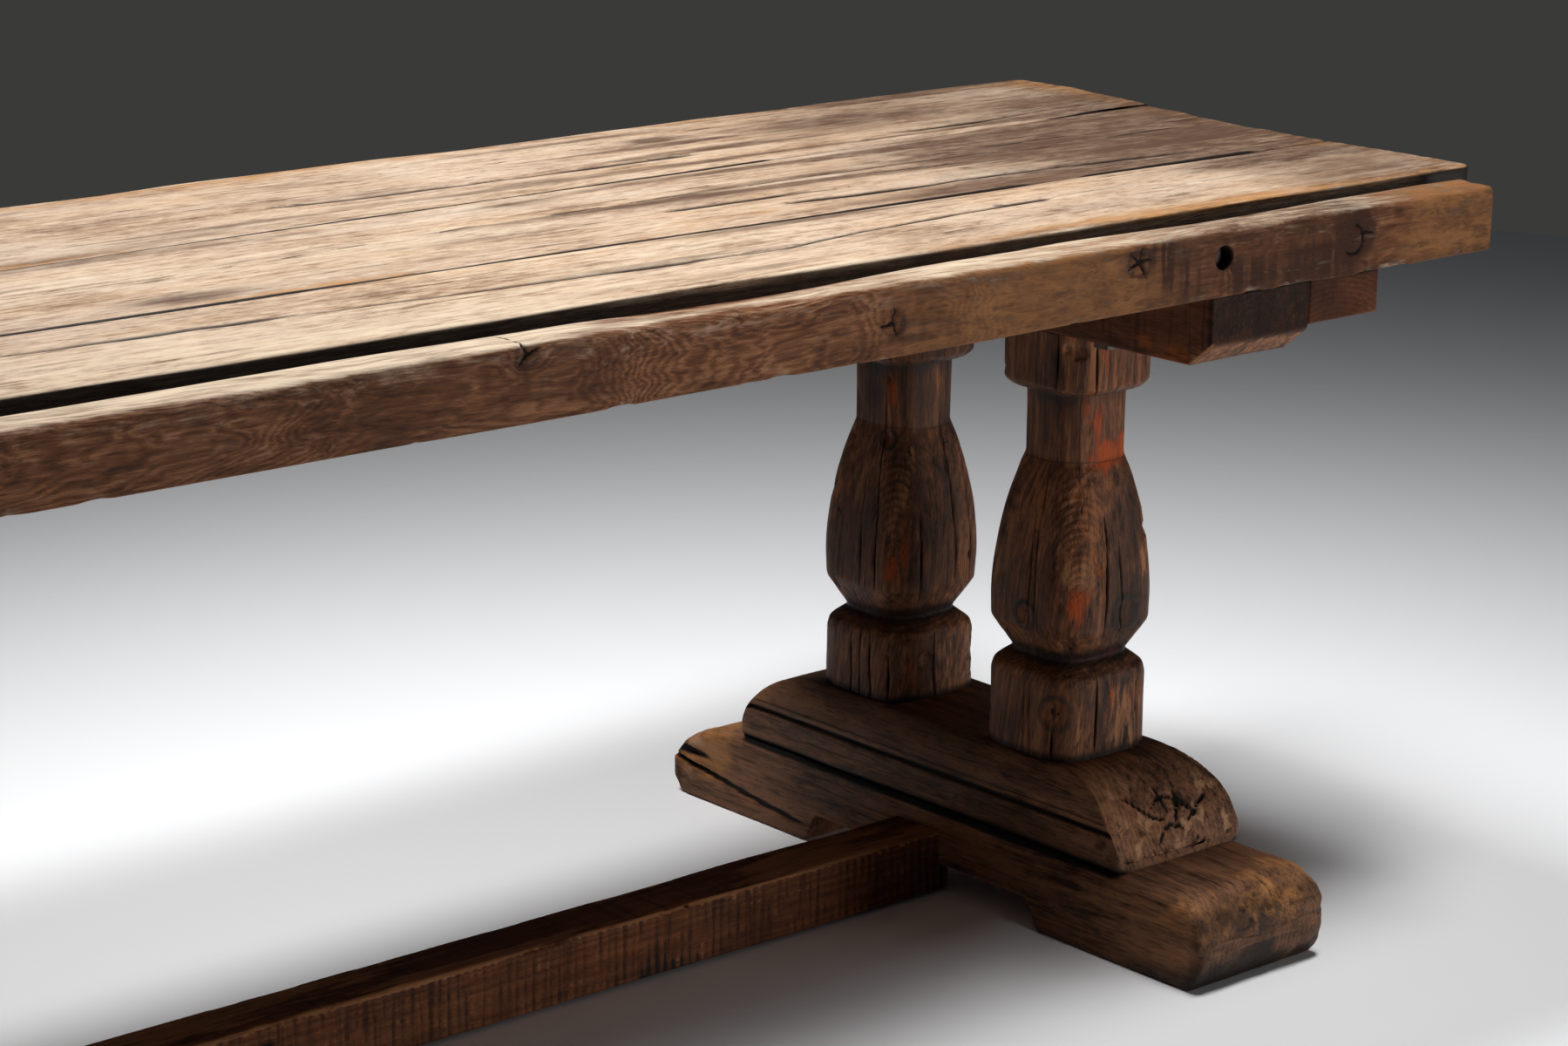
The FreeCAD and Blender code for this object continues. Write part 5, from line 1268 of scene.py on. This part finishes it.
def end_cracks(across, up, spots, seed):
    """Cracks in an upper foot's end, from 0 to 1: spokes from its heart and parts of rings, both wandering by noise."""
    cracks = np.zeros_like(up)
    dx, dz = across - END_HEART[0], up - END_HEART[1]
    for turn, start, finish in END_SPOKES:
        angle = math.radians(turn)
        ahead = np.cos(angle) * dx + np.sin(angle) * dz
        beside = -np.sin(angle) * dx + np.cos(angle) * dz + 0.004 * noise(spots * 45.0, seed + turn)
        length_share = between(start, start + 0.01, finish - 0.02, finish, ahead)
        cracks = np.maximum(cracks, smooth(0.0026, 0.0006, np.abs(beside)) * length_share)
    dx, dz = across - END_MIDDLE[0], up - END_MIDDLE[1]
    around = np.degrees(np.arctan2(dz, dx))
    for radius, start, finish in END_RINGS:
        beside = np.hypot(dx, dz) - radius + 0.004 * noise(spots * 40.0, seed + 9)
        turn_share = between(start, start + 15.0, finish - 15.0, finish, around)
        cracks = np.maximum(cracks, smooth(0.0024, 0.0006, np.abs(beside)) * turn_share)
    return cracks


def upper_foot_piece(side, seed):
    """An upper foot: one grooved and shouldered section carried from end to end.

    Its height at a place is the section's height or the end's arc, whichever is lower, blended over a few millimetres.
    """
    name = f"{side}_upper_foot"
    low, high = corners(name)
    middle, half = (low[0] + high[0]) / 2.0, (high[0] - low[0]) / 2.0
    tall, end_run, end_height, blend = high[2] - low[2], 0.106, 0.010, 0.004
    profile_x, profile_z = upper_foot_profile(half, tall)
    places = stations(low[1], high[1], 0.0042, [(low[1], 0.03, 0.002), (high[1], 0.03, 0.002)])
    from_end = np.minimum(places - low[1], high[1] - places)
    gap = (tall - quarter_fall(end_run - from_end, end_run, tall - end_height))[:, None] - profile_z
    up = profile_z + np.minimum(gap, 0.0) - 0.25 * blend * np.exp(-np.abs(gap) / blend)
    up = np.clip(np.where(profile_z > 0.0, up, 0.0), 0.0, None)
    across = profile_x[None] * (1.0 - round_in(from_end, 0.006) / half)[:, None]
    along = ring_places(places, across)
    spots = np.stack([across, along, up], axis=-1)
    slope = smooth(0.095, 0.02, from_end)[:, None] * smooth(0.0, 0.012, up)
    side_out = np.sign(across) * smooth(half - 0.024, half - 0.004, np.abs(across))
    hollow = layered(spots * (12.0, 7.0, 12.0), seed)
    fibres = noise(spots * (190.0, 8.0, 190.0), seed + 1)
    rough = layered(spots * (60.0, 45.0, 60.0), seed + 2, 4)
    push = 0.0009 * hollow + 0.0004 * fibres + 0.0010 * slope * rough
    cracks = end_cracks(across, up, spots, seed) * slope
    check_line = 0.062 + 0.004 * noise(spots * (0.0, 7.0, 0.0), seed + 3)
    long_check = np.exp(-((np.abs(across) - check_line) / 0.0016) ** 2) * smooth(tall - 0.012, tall - 0.004, up)
    long_check = long_check * smooth(-0.05, 0.10, noise(spots * (0.0, 4.0, 0.0), seed + 4))
    across = across + side_out * push
    up = np.where(up > 0.001, up + push * (1.0 - np.abs(side_out)) - 0.004 * cracks - 0.003 * long_check, up)

    groove = smooth(0.0055, 0.001, np.abs(profile_z - GROOVE)) * (np.abs(profile_x) > half - 0.01) * (up > 0.030)
    scratch = smooth(0.0024, 0.0004, np.abs(profile_z - SCRATCH)) * (np.abs(profile_x) > 0.04) * (gap > 0.004)
    flake = patches(spots, (50.0, 40.0, 50.0), seed + 5, 0.0, 0.7)
    arris = smooth(0.006, 0.0, np.abs(gap)) * smooth(half - 0.03, half - 0.012, np.abs(across))
    rub = rubbing(spots, (40.0, 16.0, 40.0), seed + 6, 0.6, 0.6)
    black = patches(spots, (11.0, 5.0, 14.0), seed + 7, 0.1, 0.8)
    marks = {
        "wear": 0.62 * slope * flake * smooth(0.085, 0.07, np.abs(across)) + 0.4 * arris * rub,
        "tint": 0.10 * patches(spots, (16.0, 4.0, 30.0), seed + 8, 0.2, 0.8),
        "stain": 0.38 * black * (1.0 - 0.6 * slope) + 0.4 * smooth(0.01, 0.0, up),
        # Painted shade: the bottom edge, in the gap over the lower foot, is darkened in the dirt colour.
        "dirt_and_shade": np.maximum.reduce([cracks, 0.7 * groove, 0.55 * scratch, 0.9 * long_check,
                                   0.8 * smooth(0.006, 0.0015, up), 0.5 * slope * smooth(0.2, 0.8, -rough)]),
    }
    rings = np.stack([middle + across, along, low[2] + up], axis=-1)[:, ::-1]
    marks = {mark: values[:, ::-1] for mark, values in marks.items()}
    grain_of = straight_grain([1, 0, 2], (-1.7 * seed, middle + 0.004, low[2] + 0.030))
    skin_piece(name, rings, marks, grain_of, "foot_oak")


class TABLE_OT_feet(bpy.types.Operator):
    """Makes the upper and lower foot of each trestle"""
    bl_idname = "table.feet"
    bl_label = "Feet"

    def execute(self, context):
        for number, side in enumerate(SIDES):
            lower_foot_piece(side, 101 + 13 * number)
            upper_foot_piece(side, 131 + 13 * number)
        return {"FINISHED"}


def cross_piece(name, seed, chamfer, round_edge):
    """A bearer or batten: rings of a rounded rectangle across the table; a bearer's underside is cut away under its
    ends.
    """
    low, high = corners(name)
    middle, half = (low[0] + high[0]) / 2.0, (high[0] - low[0]) / 2.0
    fine = [(low[1] + 0.03, 0.02, 0.003), (high[1] - 0.03, 0.02, 0.003)]
    places, inset = rounded_ends(stations(low[1], high[1], 0.006, fine), 0.003)
    end, inset = np.minimum(places - low[1], high[1] - places)[:, None], inset[:, None]
    run, rise = chamfer
    bearer = run > 0.0
    under = low[2] + (rise * np.clip(1.0 - end / run, 0.0, 1.0) if bearer else np.zeros_like(end))
    rows = section(16, 22, 16, 22, corner=5)
    out_x, out_z = rows[:, 2], rows[:, 3]
    radius = round_edge * (1.0 + 0.4 * noise(lengthwise(places, 9.0), seed)[:, None])
    across, up = bar(rows, 0.0, half - inset, under + inset, high[2] - inset, radius)
    along = ring_places(places, across)
    spots = np.stack([across, along, up], axis=-1)
    push = 0.0006 * layered(spots * (14.0, 7.0, 14.0), seed + 1) + 0.0003 * noise(spots * (170.0, 9.0, 170.0), seed + 2)
    across = across + out_x * push
    up = up + np.minimum(out_z, 0.0) * push

    arris = np.minimum(np.abs(out_x), np.abs(out_z)) * (out_z < 0.0)
    rub = rubbing(spots, (30.0, 12.0, 30.0), seed + 3, 0.5, 0.7)
    cut = smooth(0.036, 0.024, end) * smooth(low[2] + 0.03, low[2] + 0.018, up) * bearer
    patch = patches(spots, (30.0, 16.0, 30.0), seed + 4, 0.0, 0.6)
    end_dark = smooth(0.012, 0.003, end) * smooth(low[2] + 0.016, low[2] + 0.03, up) * (1.0 if bearer else 0.3)
    low_rust = 0.7 * patch * smooth(low[2] + 0.035, low[2], up) * smooth(0.20, 0.05, end)
    side_rust = 0.30 * np.abs(out_x) * patches(spots, (20.0, 9.0, 40.0), seed + 6, -0.3, 0.7)
    black = 0.5 * patches(spots, (12.0, 5.0, 14.0), seed + 5, 0.1, 0.8)
    marks = {
        "wear": 0.6 * arris * rub + 0.45 * cut,
        "tint": (low_rust + side_rust) * bearer,
        "stain": black * (1.0 - end_dark) + 0.76 * end_dark,
        # Painted shade: the top, where the piece meets the planks, is darkened in the dirt colour.
        "dirt_and_shade": 0.8 * smooth(high[2] - 0.006, high[2], up),
    }
    pith = 0.034 if bearer else -0.09
    grain_of = straight_grain([1, 0, 2], (-1.1 * seed, middle - 0.015, low[2] + pith))
    skin_piece(name, np.stack([middle - across, along, up], axis=-1), marks, grain_of, "trestle_oak")


class TABLE_OT_cross_pieces(bpy.types.Operator):
    """Makes the bearers and the battens under the top"""
    bl_idname = "table.cross_pieces"
    bl_label = "Bearers and battens"

    def execute(self, context):
        for number, side in enumerate(SIDES):
            cross_piece(f"{side}_bearer", 151 + 9 * number, (0.030, 0.024), 0.0035)
            cross_piece(f"{side}_batten", 171 + 9 * number, (0.0, 0.0), 0.0022)
        return {"FINISHED"}


# How far the stretcher's skin runs into the lower feet, and its knots: place along it, height, reach along and up,
# strength.
STRETCHER_IN = 0.012
STRETCHER_KNOTS = [(0.115, 0.045, 0.012, 0.010, 1.0), (-0.62, 0.04, 0.012, 0.010, 0.9)]


def stretcher_piece():
    """The stretcher: rings of a rounded rectangle along the table between the lower feet.

    Saw marks ripple its sides: a sine at the saw's pitch plus upright noise; nicks cut into its worn top arrises.
    """
    name, seed = "stretcher", 191
    sizes = bpy.context.scene.table_wear
    low, high = corners(name)
    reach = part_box("right_lower_foot")[0][0] + STRETCHER_IN
    places = stations(-reach, reach, 0.0021)
    rows = section(13, 14, 13, 6, corner=4)
    out_y, out_z = rows[:, 2], rows[:, 3]
    column = lengthwise(places)
    radius = np.where(rows[:, 1] > 0.0, 0.0045, 0.003) * (1.0 + 0.4 * noise(column * 8.0, seed)[:, None])
    across, up = bar(rows, 0.0, (high[1] - low[1]) / 2.0, low[2], high[2], radius)
    along = ring_places(places, across)
    spots = np.stack([along, across, up], axis=-1)
    strokes = np.stack([along + 0.04 * (up - 0.04), along * 0.0, 0.12 * up], axis=-1) / sizes.saw_pitch
    beat = np.sin(2.0 * math.pi * (along / sizes.saw_pitch + 0.5 * noise(column * 9.0, seed + 9)[:, None]))
    sawn = 0.60 * beat + 0.6 * noise(1.3 * strokes, seed + 1) + 0.5 * noise(2.6 * strokes, seed + 2)
    push = 0.0005 * layered(spots * (6.0, 14.0, 14.0), seed + 3)
    arris = np.minimum(np.abs(out_y), np.abs(out_z)) * (out_z > 0.0)
    nicks = patches(spots, (18.0, 4.0, 0.0), seed + 4, 0.42, 0.85) * (arris > 0.05)
    across = across + out_y * (push + sizes.saw_depth * sawn - 0.7 * sizes.nick * nicks)
    up = up + np.maximum(out_z, 0.0) * (push - 0.7 * sizes.nick * nicks)

    side, top = np.abs(out_y), np.clip(out_z, 0.0, 1.0)
    knot = blot(along, up, STRETCHER_KNOTS) * (out_y < 0.0)
    rub = rubbing(spots, (14.0, 60.0, 60.0), seed + 5, 0.55, 0.6)
    # Painted light: the top face, which the table shades, is lightened in patches in the wear colour.
    top_painted_light = 0.60 * top * patches(spots, (5.0, 40.0, 0.0), seed + 10, -0.6, 0.6)
    black = 0.55 * patches(spots, (5.0, 12.0, 12.0), seed + 7, 0.1, 0.8)
    marks = {
        "wear": 1.1 * arris * rub + 0.30 * side * smooth(0.1, 0.8, sawn) + top_painted_light,
        "tint": 0.10 * patches(spots, (4.0, 20.0, 20.0), seed + 6, 0.2, 0.8),
        "stain": black + 0.50 * side * smooth(0.1, -0.6, sawn),
        "dirt_and_shade": np.maximum(knot, 0.6 * nicks * smooth(0.3, 0.9, noise(spots * 90.0, seed + 8))),
    }
    grain_of = straight_grain([0, 1, 2], (-5.1, -0.012, 0.030))
    skin_piece(name, np.stack([along, across, up], axis=-1), marks, grain_of, "trestle_oak")


class TABLE_OT_stretcher(bpy.types.Operator):
    """Makes the saw-marked stretcher"""
    bl_idname = "table.stretcher"
    bl_label = "Stretcher"

    def execute(self, context):
        stretcher_piece()
        return {"FINISHED"}


class TABLE_OT_fixings(bpy.types.Operator):
    """Finishes the iron and the inner oak, which keep their own shapes"""
    bl_idname = "table.fixings"
    bl_label = "Fixings"

    def execute(self, context):
        finishes = {"spike_iron": iron_finish(), "inner_oak": inner_finish()}
        slots = {part["node"]: part["material_slot"] for part in frame["record"]["subparts"]}
        for name, node in frame["nodes"].items():
            if slots[name] in finishes:
                node.data.materials.clear()
                node.data.materials.append(finishes[slots[name]])
        return {"FINISHED"}


# The camera's place in metres, its angles in degrees and its lens in millimetres, fitted to the photograph's edges.
CAMERA_PLACE = (-1.7208, -2.8811, 1.4546)
CAMERA_HEADING, CAMERA_PITCH, CAMERA_ROLL = 40.91, 14.95, -0.60
CAMERA_LENS, CAMERA_SENSOR = 88.91, 36.0
FLOOR_MIDDLE, FLOOR_RADIUS = (0.4, -0.2, 0.0), 4.70
# Lamps: place, aim and size in metres, spread in degrees and power in watts.
LAMPS = {
    "back": {"place": (0.1, 1.45, 4.5), "aim": (0.35, 0.0, 0.6), "size": (2.0, 1.0), "spread": 60.0, "power": 17.5},
    "over": {"place": (1.2, -0.68, 4.5), "aim": (0.9, -0.2, 0.4), "size": (1.6, 0.7), "spread": 80.0, "power": 21.5},
    "front": {"place": (2.9, -4.0, 0.26), "aim": (0.9, 0.0, 0.36), "size": (2.0, 0.4), "spread": 120.0, "power": 24.0},
}
# Colour and strength of the dim light from all around.
GLOW, GLOW_STRENGTH = (0.93, 0.96, 1.0, 1.0), 0.03
# How much brighter the floor is where it is seen.
FLOOR_LIFT = 1.45


def seen_rays(nodes, links):
    """A socket that is 1 on rays from the camera, from gloss and through glass, and 0 on the rest."""
    rays = nodes.new("ShaderNodeLightPath").outputs
    total = rays["Is Camera Ray"]
    for kind in ("Is Glossy Ray", "Is Transmission Ray"):
        larger = nodes.new("ShaderNodeMath")
        larger.operation = "MAXIMUM"
        links.new(total, larger.inputs[0])
        links.new(rays[kind], larger.inputs[1])
        total = larger.outputs[0]
    return total


def floor_disc(middle, radius, rings=24, around=96):
    """A flat disc: radius times the square root of even shares, so that its faces are alike in size."""
    shares = np.sqrt(np.linspace(0.0, 1.0, rings + 1)[1:])
    turns = np.linspace(0.0, 2.0 * math.pi, around, endpoint=False)
    circle = np.stack([np.cos(turns), np.sin(turns), turns * 0.0], axis=-1)
    points = np.vstack([[[0.0, 0.0, 0.0]], (radius * shares[:, None, None] * circle).reshape(-1, 3)])
    ids = 1 + np.arange(rings * around).reshape(rings, around)
    beside = np.roll(ids, -1, axis=1)
    faces = np.stack([ids[:-1], ids[1:], beside[1:], beside[:-1]], axis=-1).reshape(-1, 4).tolist()
    faces += np.column_stack([np.zeros(around, dtype=int), ids[0], beside[0]]).tolist()
    return points + np.array(middle), faces


def placed(right, up, back, place):
    """A placing in the scene from three directions and a place."""
    turned = np.eye(4)
    turned[:3] = np.column_stack([right, up, back, place])
    return Matrix(turned.tolist())


def lay_floor(scene):
    """The pale floor, brighter on the rays that see it."""
    shades = scene.table_stage
    points, faces = floor_disc(FLOOR_MIDDLE, FLOOR_RADIUS)
    mesh = bpy.data.meshes.new("floor")
    mesh.from_pydata(points.tolist(), [], faces)
    floor = bpy.data.objects.new("floor", mesh)
    scene.collection.objects.link(floor)
    paper = Finish("floor_paper")
    place = paper.add("ShaderNodeTexCoord").outputs["Object"]
    cloud = paper.cloud(place, (1.1, 1.1, 1.1), 3.0, 0.5)
    dim = tuple(0.95 * share for share in shades.floor)
    paper.wire(Base_Color=paper.ramp(cloud, [(0.3, dim), (0.7, tuple(shades.floor))]), Roughness=0.62,
               Specular_IOR_Level=0.25)
    seen = seen_rays(paper.nodes, paper.links)
    bright = paper.add("ShaderNodeBsdfDiffuse", {"Color": (*(FLOOR_LIFT * share for share in shades.floor), 1.0)})
    either = paper.add("ShaderNodeMixShader", {0: seen, 1: paper.shader.outputs[0], 2: bright.outputs[0]})
    paper.links.new(either.outputs[0], paper.nodes["Material Output"].inputs["Surface"])
    mesh.materials.append(paper.material)


def hang_lamp(scene, name, place, aim, size, spread, power):
    """One soft lamp, turned to its aim."""
    data = bpy.data.lights.new(name, "AREA")
    data.shape = "RECTANGLE"
    data.size, data.size_y = size
    data.spread = math.radians(spread)
    data.energy = power
    light = bpy.data.objects.new(name, data)
    facing = np.array(place) - np.array(aim)
    facing = facing / np.linalg.norm(facing)
    sideways = np.cross((0.0, 0.0, 1.0), facing)
    sideways = sideways / np.linalg.norm(sideways)
    light.matrix_world = placed(sideways, np.cross(facing, sideways), facing, place)
    scene.collection.objects.link(light)


def hang_backdrop(scene):
    """The grey backdrop where it is seen, and dim light from all around."""
    world = bpy.data.worlds.new("studio")
    scene.world = world
    world.use_nodes = True
    nodes, links = world.node_tree.nodes, world.node_tree.links
    glow = nodes["Background"]
    glow.inputs["Color"].default_value = GLOW
    glow.inputs["Strength"].default_value = GLOW_STRENGTH
    behind = nodes.new("ShaderNodeBackground")
    behind.inputs["Color"].default_value = (*scene.table_stage.backdrop, 1.0)
    either = nodes.new("ShaderNodeMixShader")
    links.new(seen_rays(nodes, links), either.inputs[0])
    links.new(glow.outputs[0], either.inputs[1])
    links.new(behind.outputs[0], either.inputs[2])
    links.new(either.outputs[0], nodes["World Output"].inputs["Surface"])


def set_camera(scene):
    """The camera: ahead is (sin h cos p, cos h cos p, -sin p) for a heading h and a pitch p, then rolled about it."""
    data = bpy.data.cameras.new("camera")
    data.lens, data.sensor_width = CAMERA_LENS, CAMERA_SENSOR
    data.clip_end = 100.0
    camera = bpy.data.objects.new("camera", data)
    heading, pitch, roll = (math.radians(angle) for angle in (CAMERA_HEADING, CAMERA_PITCH, CAMERA_ROLL))
    ahead = np.array([math.sin(heading) * math.cos(pitch), math.cos(heading) * math.cos(pitch), -math.sin(pitch)])
    right = np.array([math.cos(heading), -math.sin(heading), 0.0])
    down = np.cross(ahead, right)
    level, fall = math.cos(roll) * right + math.sin(roll) * down, math.cos(roll) * down - math.sin(roll) * right
    camera.matrix_world = placed(level, -fall, -ahead, CAMERA_PLACE)
    scene.collection.objects.link(camera)
    scene.camera = camera


class TABLE_OT_stage(bpy.types.Operator):
    """Lays the pale floor and sets the soft light, the grey backdrop and the camera"""
    bl_idname = "table.stage"
    bl_label = "Stage"

    def execute(self, context):
        scene = context.scene
        lay_floor(scene)
        for name, lamp in LAMPS.items():
            hang_lamp(scene, name, **lamp)
        hang_backdrop(scene)
        set_camera(scene)
        scene.view_settings.view_transform = "Standard"
        return {"FINISHED"}


OPERATORS = (TABLE_OT_planks, TABLE_OT_edge_beam, TABLE_OT_legs, TABLE_OT_feet, TABLE_OT_cross_pieces,
             TABLE_OT_stretcher, TABLE_OT_fixings, TABLE_OT_stage)


class TABLE_PT_sidebar(bpy.types.Panel):
    """Lists the table's pieces and their settings"""
    bl_idname = "TABLE_PT_sidebar"
    bl_label = "Refectory table"
    bl_space_type = "VIEW_3D"
    bl_region_type = "UI"
    bl_category = "Table"

    def draw(self, context):
        for operator in OPERATORS:
            self.layout.operator(operator.bl_idname)
        for group in (*FINISHES, "table_stage", "table_wear"):
            box = self.layout.box()
            box.label(text=group.replace("_", " ").capitalize())
            settings = getattr(context.scene, group)
            for name in settings.__annotations__:
                box.prop(settings, name)


CLASSES = (*FINISHES.values(), StageSettings, WearSizes, *OPERATORS, TABLE_PT_sidebar)
POINTERS = {**FINISHES, "table_stage": StageSettings, "table_wear": WearSizes}


def register():
    """Adds the classes and hangs the settings on the scene."""
    for each in CLASSES:
        bpy.utils.register_class(each)
    for name, group in POINTERS.items():
        setattr(bpy.types.Scene, name, bpy.props.PointerProperty(type=group))


def unregister():
    """Takes the settings and the classes away again."""
    for name in POINTERS:
        delattr(bpy.types.Scene, name)
    for each in reversed(CLASSES):
        bpy.utils.unregister_class(each)


def main():
    """Builds the pieces in order."""
    register()
    for step in (bpy.ops.table.planks, bpy.ops.table.edge_beam, bpy.ops.table.legs, bpy.ops.table.feet,
                 bpy.ops.table.cross_pieces, bpy.ops.table.stretcher, bpy.ops.table.fixings, bpy.ops.table.stage):
        step()


if __name__ == "__main__":
    main()
